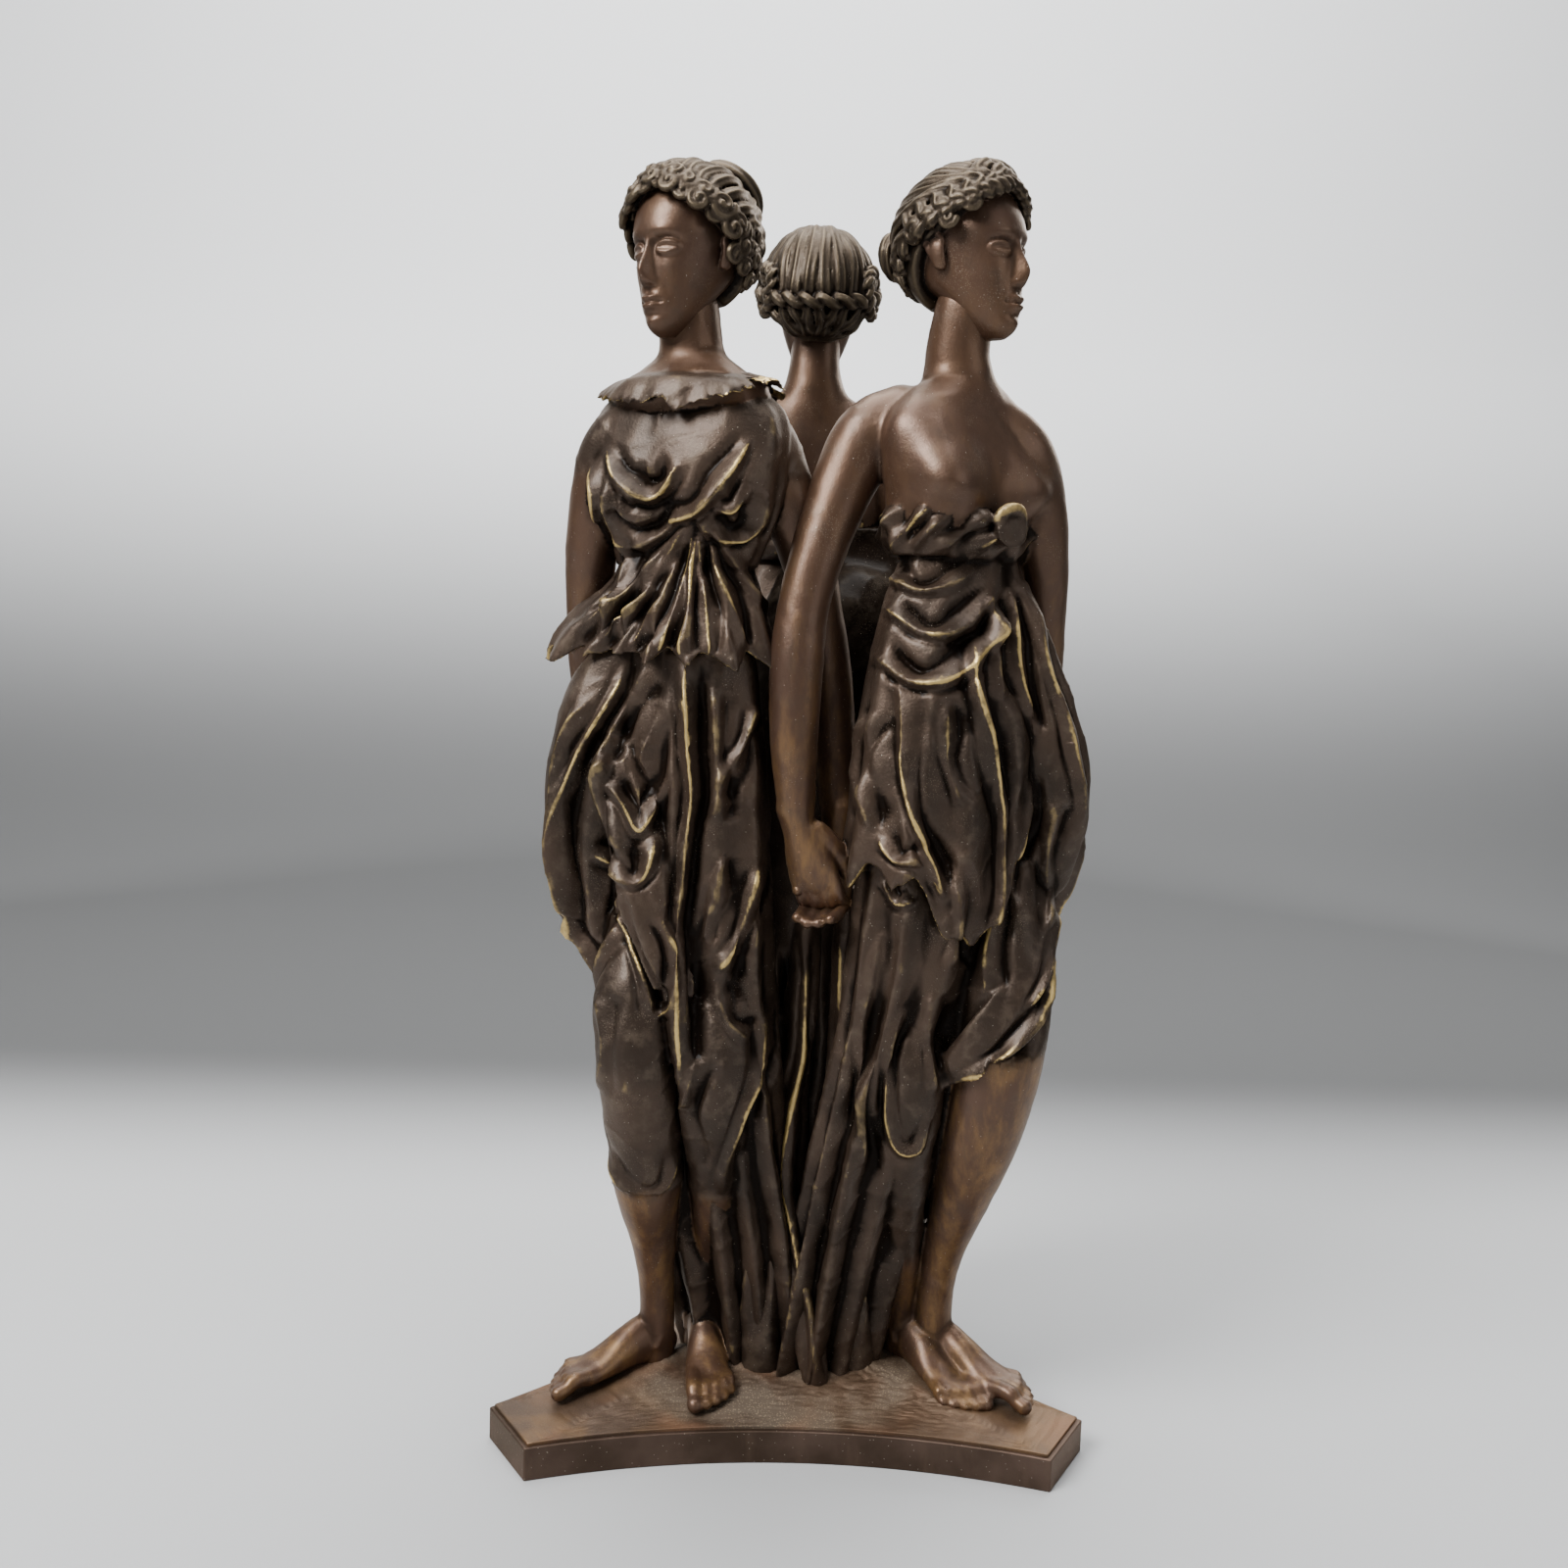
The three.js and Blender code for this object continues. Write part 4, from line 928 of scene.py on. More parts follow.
def collared_body():
    skirt_rows = [
        [292, 0, 0, 27, 18.5, 0.6], [252, 0, 1, 32, 22, 1.0], [200, 1.5, 2, 33.5, 22.5, 1.6],
        [150, 5, 6, 31.5, 21, 2.4], [105, 9, 14, 29.5, 18.5, 2.9], [60, 11, 26, 30.5, 17, 3.3],
        [0, 15, 40, 26.5, 18, 3.7],
    ]
    skirt_ridges = [
        [-150, -156, -160, 1], [-106, -112, -118, 1.2], [-60, -66, -60, 0.5], [-14, -20, -18, 1.0],
        [14, 16, 12, 1.3], [48, 40, 36, 0.8], [84, 70, 62, 1.3], [122, 114, 110, 1], [166, 160, 156, 1.1],
    ]
    blouse_rows = [
        [386, 0, 1, 20, 13, 0.3], [381, -0.5, 1, 32, 18, 0.5], [371, -1, 0.5, 39, 21.5, 0.8],
        [354, -1, -0.5, 38.5, 23.5, 1.0], [339, -1, -0.5, 36, 22.5, 1.4], [320, 0, 0, 27.5, 16.5, 1],
    ]
    blouse_ridges = [
        [-150, -148, -146, 0.7], [-96, -92, -90, 0.9], [-56, -62, -66, 0.5], [30, 36, 44, 0.5],
        [68, 74, 78, 0.6], [100, 96, 92, 0.9], [150, 148, 146, 0.7],
    ]

    def pouches(angle, z):
        fall = np.where(z > 343, bump(z - 343, 15), bump(z - 343, 7))
        left = 5.6 * bump(wrapped(angle + 34), 27) * fall
        right = 5.2 * bump(wrapped(angle - 46), 27) * fall
        cleft = -3.6 * bump(wrapped(angle - 5), 14) * bump(z - 338, 12)
        return left + right + cleft

    peplum_rows = [
        [330, 0, 0, 22.5, 15, 0.4], [316, -1, 0, 28, 19.5, 1.0], [302, -3, 0, 34, 24, 2.2],
        [289, -5, 0.5, 40, 27.5, 3.4],
    ]
    peplum_ridges = [
        [-158, -158, -158, 1], [-118, -122, -124, 1.2], [-86, -92, -96, 1.9], [-56, -64, -70, 1.2],
        [-36, -44, -50, 1.0], [-20, -26, -30, 1.2], [-4, -9, -12, 0.8], [10, 9, 8, 1.4], [28, 29, 30, 0.9],
        [48, 52, 56, 1.2], [78, 84, 88, 1.4], [122, 124, 126, 1],
    ]
    collar_rows = [
        [388, 0, -1, 24.5, 17.0, 0.0], [386.2, 0, -1, 30, 21, 0.3], [383.5, 0, -1, 34.5, 23.8, 0.5],
        [380.5, 0, -1, 36.8, 25.5, 0.8],
    ]

    def collar_edge(angle):
        sag = (4.5 * bump(wrapped(angle - 8), 52) - 5.5 * bump(wrapped(angle - 84), 34)
               - 1.5 * bump(wrapped(angle + 74), 30))
        notch = 2.6 * bump(wrapped(angle - 14), 8) - 2.4 * bump(wrapped(angle - 2), 6)
        teeth = (0.8 * np.abs(np.sin(angle * 0.95)) ** 0.5 + 0.5 * np.sin(angle * 0.61 + 1)
                 + 0.35 * np.sin(angle * 2.3))
        return sag + notch + teeth

    def frayed(angle, z):
        low = smooth((384 - z) / 4)
        crease = 0.28 * np.sin(angle * 0.17 + 0.4) + 0.16 * np.sin(angle * 0.41 + 2)
        return low * (0.45 * np.abs(np.sin(angle * 1.35)) ** 0.6 + 0.3 * np.sin(angle * 0.83 + 2)) + crease

    own = [
        drape(skirt_rows, skirt_ridges, 440, 360, lift=0, sharp=1.6),
        drape(blouse_rows, blouse_ridges, 420, 150, relief=pouches, lift=3, sharp=1.6),
        drape(peplum_rows, peplum_ridges, 460, 130, hem=1.8, lift=8, edge=ragged(13, 4, 4), worn=0.6,
              thin=0.88,
              sharp=1.5, relief=lambda angle,
              z: 11 * bump(wrapped(angle + 60), 20) * smooth((318 - z) / 24)),
        trunk([[398, 0, 0, 11, 10], [393, 0, 0, 17.5, 13], [387.5, 0, -0.5, 25.5, 17.5],
               [382, 0, -0.5, 31, 20],
               [374, 0, 0, 33, 20], [366, 0, 0, 30, 17]], None, 200, 60).marked(skin=1),
        drape(collar_rows, [], 700, 110, edge=collar_edge, relief=frayed, lift=4, worn=1.0, thin=0.93),
    ]
    forms = woman_frame(own, -28, (-47, -32, 0))
    forms += [
        cloth_limb([[-62, -30, 300, 8, 8], [-74, -32, 272, 16, 12], [-81, -29, 240, 17.5, 14],
                    [-81, -25, 208, 15, 14], [-74, -22, 178, 11, 11], [-66, -20, 150, 6, 7]], 5, 1.3,
                   twist=0.4,
                   columns=160, rings=190, worn=0),
        cloth_limb([[-73, -38, 266, 6, 2.4], [-68, -49, 240, 10, 3.4], [-61, -55, 214, 11, 3.4],
                    [-56, -57, 190, 8, 3.2],
                    [-51, -58, 167, 3.5, 2.2]], 5, 1.4, worn=0, blunt=0.1, twist=0.25),
        cloth_limb([[-46, -48, 206, 4, 2], [-46, -55, 180, 6, 3], [-44, -57, 152, 5.5, 3],
                    [-40, -55, 124, 2.6, 2]], 5, 1.1,
                   worn=0, blunt=0.1, twist=0.2),
        limb([[-47, -31, 374, 20, 14], [-47, -31.5, 385, 14, 12], [-47.5, -32, 396, 12, 11.4],
              [-49, -33, 412, 11.4, 11.8]], 90, 80).marked(skin=1),
        limb([[-60, -30, 190, 13], [-61, -41, 158, 16.5], [-60, -45, 132, 15.5], [-57, -39, 104, 14],
              [-56, -35, 84, 12.4],
              [-53.5, -26, 58, 8.4], [-52, -21, 36, 6.9], [-52, -19, 18, 7.2], [-52, -18, 6, 7.5]], 110,
             220)
        .marked(skin=bare_below(88, 4)),
        limb([[-34, -34, 190, 13], [-31, -43, 152, 15.5], [-30, -46, 128, 14.5], [-30, -40, 104, 11.5],
              [-31, -28, 74, 8.2],
              [-32, -17, 50, 6.8], [-33, -9, 28, 6.8], [-34, -6, 10, 7.4]], 110, 200)
        .marked(skin=bare_below(86)),
    ]
    forms += foot_forms((-52, -18, 8), -58, 5, 1) + foot_forms((-34, -6, 10), 6, 9, -1)
    right_arm = [[-62, -28, 374, 10, 10], [-74, -25, 366, 11.5, 12], [-80, -21, 350, 11.5, 11.5],
                 [-84, -16, 328, 10, 10.5],
                 [-85, -11, 302, 8.8, 8.8], [-84, -6, 280, 8.8, 8.5], [-81, 3, 252, 7.8, 7.8],
                 [-75, 11, 228, 6.4, 6.2]]
    left_arm = [[-32, -34, 374, 10, 10], [-21, -36, 366, 12.0, 12], [-13, -35, 350, 11.5, 11.5],
                [-4, -31, 328, 10, 10.5],
                [3, -28, 302, 8.8, 8.8], [7, -26, 280, 8.8, 8.5], [10, -29, 252, 8.0, 8.0],
                [12, -35, 228, 6.6, 6.4]]
    forms += arms(right_arm, left_arm, skin=bare_below(356))
    forms += hand_forms((-74.5, 12, 224), (4, 8, -30), (0.6, 1, 0), thumb=1)
    forms += hand_forms((12, -36, 226), (-4, -5, -30), (-0.4, -1, 0), thumb=1, curl=1.2)
    return forms


COLLARED_FOLDS = [
    (0, [
        ([[-78, 375], [-73, 362], [-63, 356], [-54, 360], [-49, 369]], 3.2, 2.2, 1.0, 0.3),
        ([[-58, 348], [-47, 350], [-37, 357], [-29, 367], [-24, 378]], 2.8, 2.2, 1.0, 0.3),
        ([[-80, 362], [-77, 347], [-68, 339], [-57, 343], [-49, 351]], 2.6, 2.0, 0.6, 0.3),
        ([[-46, 352], [-39, 344], [-29, 342], [-21, 349], [-17, 362]], 2.8, 2.1, 0.7, 0.3),
        ([[-76, 354], [-68, 348], [-60, 350]], 1.8, 1.7, 0.3, 0.2),
        ([[-40, 352], [-31, 352], [-22, 360]], 1.8, 1.7, 0.7, 0.2),
        ([[-84, 372], [-82, 350], [-78, 334]], 1.8, 1.7, 0.9, 0.1),
        ([[-47, 351], [-58, 334], [-73, 318], [-88, 308]], 2.2, 1.8, 0.5, 0.3),
        ([[-47, 350], [-56, 330], [-68, 314], [-78, 304]], 2.0, 1.6, 0.7, 0.3),
        ([[-46, 349], [-52, 328], [-60, 311], [-66, 302]], 2.0, 1.6, 0.6, 0.2),
        ([[-46, 348], [-48, 326], [-53, 309], [-55, 301]], 2.2, 1.7, 0.9, 0.2),
        ([[-45, 347], [-45, 325], [-46, 307], [-46, 300]], 2.4, 1.7, 1.0, 0.2),
        ([[-44, 348], [-41, 326], [-38, 309], [-36, 300]], 2.0, 1.6, 0.9, 0.2),
        ([[-43, 349], [-36, 330], [-29, 314], [-25, 303]], 2.0, 1.6, 0.6, 0.2),
        ([[-42, 350], [-32, 336], [-23, 324], [-17, 316]], 1.8, 1.6, 0.4, 0.2),
        ([[-44, 302], [-46, 284], [-44, 252], [-44, 226], [-47, 196], [-46, 170], [-41, 128]], 3.4, 2.1,
         1.0, 0.2),
        ([[-66, 298], [-80, 274], [-91, 244], [-92, 214], [-85, 184]], 2.8, 2.2, 0.9, 0.3),
        ([[-60, 296], [-72, 276], [-80, 252]], 2.0, 2.0, 0.3, 0.3),
        ([[-74, 254], [-67, 246], [-60, 237], [-56, 245], [-53, 258]], 2.6, 2.0, 0.8, 0.3),
        ([[-80, 226], [-72, 222], [-62, 218], [-56, 224], [-54, 236]], 2.6, 2.0, 0.8, 0.3),
        ([[-72, 214], [-67, 200], [-59, 180], [-54, 168]], 2.2, 1.7, 0.9, 0.2),
        ([[-54, 168], [-49, 174], [-48, 192], [-52, 208]], 1.8, 1.6, 0.8, 0.2),
        ([[-20, 284], [-25, 268], [-37, 252]], 2.2, 2.0, 0.5, 0.3),
        ([[-36, 290], [-34, 262], [-35, 240]], 1.8, 2.0, 0.1, 0.2),
        ([[-18, 226], [-22, 202], [-32, 186]], 2.4, 2.1, 0.9, 0.3),
        ([[-30, 230], [-33, 212], [-36, 196]], 1.6, 1.9, 0.2, 0.3),
        ([[-14, 176], [-17, 146], [-26, 112], [-27, 96]], 2.4, 2.0, 0.6, 0.3),
        ([[-34, 182], [-28, 168], [-20, 160]], 1.8, 2.0, 0.1, 0.3),
        ([[-38, 158], [-41, 130], [-40, 106]], 2.0, 2.0, 0.4, 0.2),
        ([[-74, 118], [-68, 104], [-58, 98], [-49, 102], [-44, 116]], 1.6, 1.5, 0.8, 0.2),
        ([[-75, 176], [-72, 158], [-74, 138]], 1.4, 1.8, 0.3, 0.2),
    ]),
    (-85, [
        ([[6, 296], [2, 262], [8, 222], [20, 186], [28, 146], [30, 100]], 3.0, 2.2, 0.7, 0.2),
        ([[36, 292], [30, 250], [24, 214], [14, 186]], 2.6, 2.1, 0.6, 0.3),
        ([[44, 286], [42, 240], [36, 200], [30, 168]], 2.2, 2.1, 0.4, 0.3),
        ([[14, 344], [10, 322], [4, 304]], 2.0, 1.8, 0.5, 0.2),
        ([[30, 344], [34, 322], [40, 304]], 2.0, 1.8, 0.5, 0.2),
        ([[10, 160], [4, 120], [-6, 70], [-10, 34]], 2.6, 2.2, 0.5, 0.2),
        ([[22, 150], [12, 104], [4, 60], [0, 30]], 2.2, 2.1, 0.3, 0.2),
    ]),
]


BUST = [
    [391, 0, 0, 13, 11], [383, 0, 0, 25, 13.5], [373, 0, 0, 33, 16.5], [361, 0, 0, 33, 18.5],
    [348, 0, 0, 31, 19], [332, 0, 0, 28, 18],
]
BAND = [
    [346, 0, -1, 24, 15, 0.6], [343, 0, -1, 30, 20.5, 1.6], [335, 0, -0.5, 31.5, 22, 2.0],
    [326, 0, 0, 28, 18, 1.0],
]
BAND_RIDGES = [
    [-150, -144, -138, 1], [-104, -94, -86, 1.2], [-66, -52, -40, 1.1], [-30, -14, -4, 1.3], [4, 16, 28, 1],
    [42, 52, 62, 1.2], [84, 94, 102, 1], [136, 144, 152, 1],
]


def breasts(angle, z):
    round_ = sum(bump(wrapped(angle - a), 25) for a in (-34, 34))
    fall = np.where(z > 351, bump(z - 351, 16), bump(z - 351, 10.5))
    bones = 0.5 * bump(z - 383, 2) * (bump(wrapped(angle - 40), 26) + bump(wrapped(angle + 40), 26))
    blades = 1.2 * bump(z - 366, 10) * (bump(wrapped(angle - 150), 16) + bump(wrapped(angle + 150), 16))
    spine = -1.2 * bump(wrapped(angle - 180), 8) * bump(z - 362, 18)
    return 10.5 * round_ * fall + bones + blades + spine


def band_forms():
    strokes = []
    for k, a in enumerate((-176, -150, -120, -92, -70, -44, -20, 2, 30, 58, 90, 120, 150)):
        strokes.append(([[a, 327], [a + 12, 332], [a + 26, 338], [a + 42, 344]], 2.4, 1.7,
                        (0.9, 0.2, 0.6)[k % 3], 0.35))
    return drape(BAND, BAND_RIDGES, 420, 80, strokes, lift=2, sharp=1.6)


def clasp_forms(x, y, z, turn):
    """A plain round disc with a raised rim on the band, with a small knot of cloth above it."""
    disc = limb([[0, 2, 0, 6.0, 6.0], [0, -3.2, 0, 5.6, 5.6]], 60, 40, side=(0, 0, 1), blunt=0.15)
    ring = [[5.7 * math.sin(a), -3.4, 5.7 * math.cos(a), 0.85] for a in np.linspace(0, 2 * math.pi, 15)]
    rim = limb(ring, 14, 110, side=(0, 1, 0.001))
    knot = limb([[-5.5, -1.5, 3.5, 1.8], [-2.4, -3.6, 7.2, 2.2], [2.4, -3.6, 7.2, 2.2],
                 [5.5, -1.5, 3.5, 1.8]],
                18, 40, side=(0, 1, 0.001))
    rim.marked(gilt=0.25)
    knot.marked(gilt=0.5)
    return [form.moved(turn=turn, place=(x, y, z)) for form in (disc, rim, knot)]


def bare_shouldered_body():
    skirt_rows = [
        [222, -1, 1, 31, 21.5, 0.8], [180, -2, 3, 33, 23, 1.8], [150, -3, 7, 31.5, 21.5, 2.6],
        [105, -5, 15, 34, 19.5, 3.0], [60, -9, 28, 29, 18, 3.4], [0, -11, 43, 27.5, 18.5, 3.8],
    ]
    skirt_ridges = [
        [-154, -150, -148, 1], [-118, -112, -108, 1.1], [-86, -84, -76, 1.4], [-48, -58, -46, 1.4],
        [-12, -28, -18, 0.9], [16, 4, 10, 1.1], [58, 58, 50, 0.2], [90, 94, 90, 1], [126, 126, 126, 1.1],
        [166, 168, 170, 1],
    ]
    apron_rows = [
        [330, 3, -1, 24, 15, 0.6], [306, 1, -1, 31, 21.5, 1.0], [268, -1, -1.5, 35.5, 25.5, 1.2],
        [234, -3, -2, 37, 27.5, 1.8], [216, -4, -1.5, 37, 27.5, 2.4],
    ]
    apron_ridges = [
        [-160, -162, -163, 0.4], [-116, -124, -128, 1], [-78, -90, -98, 1.2], [-36, -46, -52, 1],
        [2, -14, -22, 1.2], [30, 20, 8, 1.2], [60, 58, 56, -0.2], [96, 96, 96, -0.8], [140, 140, 140, -0.4],
    ]

    def apron_edge(angle):
        tongues = (30 * bump(wrapped(angle + 8), 13) + 16 * bump(wrapped(angle + 31), 11)
                   + 8 * bump(wrapped(angle - 12), 9))
        return tongues + ragged(11, 7, 9)(angle)

    def thighs(angle, z):
        right = 2.4 * bump(wrapped(angle + 40), 34) * bump(z - 278, 24)
        left = 1.6 * bump(wrapped(angle - 36), 22) * bump(z - 262, 26)
        return right + left

    own = [
        drape(skirt_rows, skirt_ridges, 440, 320, lift=0, sharp=1.6),
        trunk(BUST, breasts, 300, 200).marked(skin=1),
        band_forms(),
        drape(apron_rows, apron_ridges, 440, 240, hem=2.5, lift=9, edge=apron_edge, worn=0.6, relief=thighs,
              thin=0.88,
              sharp=1.6),
    ]
    own += clasp_forms(1, -25.5, 336, -10)
    forms = woman_frame(own, 36, (51, -36, 0))
    forms += [
        cloth_limb([[72, -38, 314, 7, 7], [82, -37, 284, 11, 11], [89, -32, 248, 17, 14],
                    [89, -28, 216, 14.5, 13],
                    [84, -26, 190, 9, 9], [78, -26, 168, 4, 5]], 5, 1.3, twist=-0.4, columns=160, rings=190,
                   worn=0),
        cloth_limb([[93, -30, 206, 4, 2], [90, -47, 188, 7, 3.2], [78, -58.5, 167, 8.5, 3.6],
                    [63, -58.5, 149, 7, 3.4],
                    [50, -51, 133, 4, 2.4]], 4, 1.3, side=(0, 0, 1), worn=0, blunt=0.1),
        limb([[50, -35, 380, 20, 14], [49.5, -35.5, 391, 13.5, 12], [49, -36, 402, 11.6, 11.2],
              [51, -37, 416, 11.2, 11.6]], 90, 80).marked(skin=1),
        limb([[74, -34, 208, 14], [76, -41, 180, 18.5], [75, -45, 146, 17], [70, -40, 112, 15.4],
              [65, -32, 84, 11.6],
              [60, -24, 58, 8.2], [58, -20, 38, 7.2], [58, -18, 18, 7.6], [58, -17, 8, 8]], 110, 220)
        .marked(skin=bare_below(148)),
        limb([[42, -34, 175, 12], [41, -43, 146, 14.5], [41, -45, 122, 13], [41, -37, 92, 10.5],
              [43, -24, 58, 8],
              [45, -14, 30, 7.2], [46, -11, 8, 8]], 110, 200).marked(skin=bare_below(60)),
    ]
    forms += foot_forms((58, -17, 8), 52, 5, -1) + foot_forms((46, -11, 9.5), 34, 9, 1)
    right_arm = [[30, -36, 379, 10, 10], [18, -37, 370, 12.5, 12], [10, -39, 354, 12, 11.5],
                 [2, -43, 332, 10.4, 10.5],
                 [-4, -47, 308, 9.4, 9.4], [-6, -49, 286, 9.8, 9.4], [-6, -49, 256, 8.6, 8.4],
                 [-4, -48, 230, 6.4, 6.4]]
    left_arm = [[64, -34, 376, 10, 10], [74, -32, 366, 12, 11.5], [81, -28, 350, 11.5, 11],
                [86, -22, 328, 10, 10],
                [88, -15, 304, 9.2, 9.2], [89, -8, 280, 9.0, 8.8], [88, 2, 252, 8.0, 8.0],
                [83, 11, 230, 6.4, 6.2]]
    forms += arms(right_arm, left_arm)
    forms += hand_forms((-3.6, -48, 228), (10, 1.5, -30), (0.35, 1, 0.1), thumb=1, curl=1.0)
    forms += hand_forms((82.4, 12, 226), (-6, 6, -30), (-0.8, 0.6, 0), thumb=1)
    return forms


BARE_SHOULDERED_FOLDS = [
    (0, [
        ([[28, 302], [32, 272], [36, 249], [45, 228], [49, 215]], 2.8, 2.0, 1.0, 0.3),
        ([[57, 320], [57, 292], [64, 264], [70, 242], [71, 219], [66, 194], [65, 178]], 3.4, 2.1, 1.0, 0.2),
        ([[20, 304], [34, 294], [50, 297], [63, 308], [70, 324]], 3.4, 2.4, 0.9, 0.3),
        ([[23, 322], [38, 311], [54, 314], [66, 328]], 2.6, 2.1, 0.7, 0.3),
        ([[24, 334], [36, 326], [48, 328], [58, 335]], 2.0, 1.8, 0.4, 0.3),
        ([[70, 330], [74, 310], [77, 292], [82, 274]], 2.6, 1.9, 0.9, 0.2),
        ([[63, 326], [66, 306], [68, 288]], 2.2, 1.8, 0.7, 0.2),
        ([[78, 328], [84, 308], [91, 288], [98, 264], [102, 240]], 2.8, 2.0, 0.8, 0.3),
        ([[20, 284], [17, 262], [22, 240]], 2.2, 2.0, 0.3, 0.2),
        ([[44, 288], [47, 268], [54, 250]], 1.8, 1.8, 0.5, 0.3),
        ([[24, 240], [31, 231], [40, 230], [48, 217]], 2.2, 1.8, 0.8, 0.3),
        ([[26, 222], [31, 214], [38, 216]], 1.8, 1.6, 0.7, 0.3),
        ([[52, 232], [54, 208], [52, 190]], 2.0, 1.8, 0.2, 0.2),
        ([[80, 262], [78, 236], [73, 214]], 2.4, 2.0, 0.7, 0.2),
        ([[89, 252], [90, 226], [92, 204]], 2.2, 2.0, 0.4, 0.2),
        ([[39, 178], [32, 154], [34, 124], [43, 120], [49, 134]], 1.8, 1.6, 0.8, 0.2),
        ([[46, 182], [48, 160], [50, 142]], 1.6, 1.8, 0.2, 0.2),
        ([[98, 198], [88, 179], [74, 161], [58, 149]], 2.8, 2.0, 1.0, 0.3),
        ([[97, 212], [90, 192], [80, 176]], 2.2, 1.7, 0.9, 0.3),
        ([[92, 184], [80, 165], [64, 153], [54, 140]], 2.0, 1.7, 0.4, 0.3),
        ([[28, 206], [24, 176], [22, 140], [24, 104]], 2.2, 2.0, 0.3, 0.2),
    ]),
    (95, [
        ([[-34, 300], [-30, 262], [-36, 224], [-30, 186], [-22, 150]], 2.8, 2.2, 0.7, 0.2),
        ([[-10, 296], [-16, 256], [-22, 220], [-30, 190]], 2.4, 2.1, 0.6, 0.3),
        ([[-4, 280], [-6, 230], [-14, 180], [-8, 130], [-2, 70]], 2.4, 2.2, 0.5, 0.2),
        ([[-44, 318], [-30, 306], [-14, 310], [-2, 322]], 2.4, 2.0, 0.7, 0.3),
        ([[-14, 150], [-6, 100], [4, 50], [8, 30]], 2.4, 2.2, 0.4, 0.2),
    ]),
]


def far_body():
    skirt_rows = [
        [276, 0, 0, 30, 20.5, 0.8], [235, 0, 1, 33, 23, 1.4], [195, 0, 2.5, 34, 23.5, 2.0],
        [150, 0, 7, 32.5, 22.5, 2.8],
        [105, 0, 13, 31, 21.5, 3.4], [60, 0, 20, 30, 22, 4.2], [0, 0, 28, 33, 24, 5.2],
    ]
    skirt_ridges = [
        [-158, -158, -156, 1], [-116, -112, -108, 1.2], [-76, -74, -70, 1.2], [-40, -44, -34, 0.4],
        [-8, -12, -10, 1.3], [14, 12, 14, 0.9], [44, 46, 40, 0.4], [78, 76, 70, 1.3], [116, 112, 108, 1.2],
        [158, 156, 154, 1],
    ]
    overfold_rows = [
        [330, 0, 0, 24, 15, 0.4], [310, 0, 0, 30, 21, 1.0], [287, 0, 0, 35.5, 25.5, 1.8],
        [266, -1, 0, 39, 28.2, 3.0],
    ]
    overfold_ridges = [
        [-158, -159, -160, 1], [-122, -124, -126, 1.2], [-90, -93, -96, 1.4], [-56, -62, -66, 1],
        [-28, -34, -38, 1.4], [-4, -10, -14, 1], [14, 15, 16, 1.3], [38, 42, 46, 1], [66, 70, 74, 1.3],
        [94, 98, 100, 1.3], [126, 128, 130, 1],
    ]
    own = [
        drape(skirt_rows, skirt_ridges, 440, 360, lift=0, sharp=1.6),
        trunk([[z + (5 if z > 350 else 0), *rest] for z, *rest in BUST], breasts, 300, 200).marked(skin=1),
        band_forms(),
        drape(overfold_rows, overfold_ridges, 440, 160, hem=3.0, lift=10, edge=ragged(11, 9, 13), worn=0.6,
              thin=0.88,
              sharp=1.5),
    ]
    forms = woman_frame(own, 180, (0, 51, 0))
    forms += [
        limb([[0, 50, 384, 20, 14], [0, 50, 396, 13.5, 12], [0, 50.5, 407, 10.6, 10.4],
              [0.5, 51.5, 420, 10.4, 11.0]],
             90, 80).marked(skin=1),
        limb([[13, 56, 200, 12], [15, 64, 165, 16.5], [15, 66, 130, 15.5], [13, 59, 92, 12.5],
              [11, 50, 50, 8],
              [10, 46, 26, 7.5], [10, 44, 8, 8]], 110, 200).marked(skin=bare_below(70)),
        limb([[-12, 52, 180, 12], [-14, 60, 150, 15], [-14, 62, 124, 14], [-13, 55, 92, 12],
              [-12, 47, 50, 8],
              [-12, 43, 26, 7.5], [-12, 41, 8, 8]], 110, 200).marked(skin=bare_below(70)),
    ]
    forms += foot_forms((10, 44, 8), 168, 5, -1) + foot_forms((-12, 41, 9), 194, 8, 1)
    right_arm = [[-16, 50, 383, 10, 10], [-28, 50, 374, 12.5, 12], [-36, 48, 358, 12, 11.5],
                 [-43, 45, 334, 10.2, 10.5],
                 [-48, 42, 308, 9.2, 9.2], [-52, 39, 284, 9.0, 8.8], [-57, 33, 256, 8.0, 8.0],
                 [-62, 27, 230, 6.4, 6.2]]
    left_arm = [[16, 50, 383, 10, 10], [28, 50, 374, 12.5, 12], [36, 48, 358, 12, 11.5],
                [44, 45, 334, 10.2, 10.5],
                [50, 42, 308, 9.2, 9.2], [55, 39, 284, 9.0, 8.8], [61, 34, 256, 8.0, 8.0],
                [68, 28, 230, 6.4, 6.2]]
    forms += arms(right_arm, left_arm)
    forms += hand_forms((-62.6, 26, 228), (-5, -6, -30), (-0.7, -0.7, 0), thumb=1)
    forms += hand_forms((68.8, 27, 228), (6, -6, -30), (0.8, -0.6, 0), thumb=-1)
    return forms


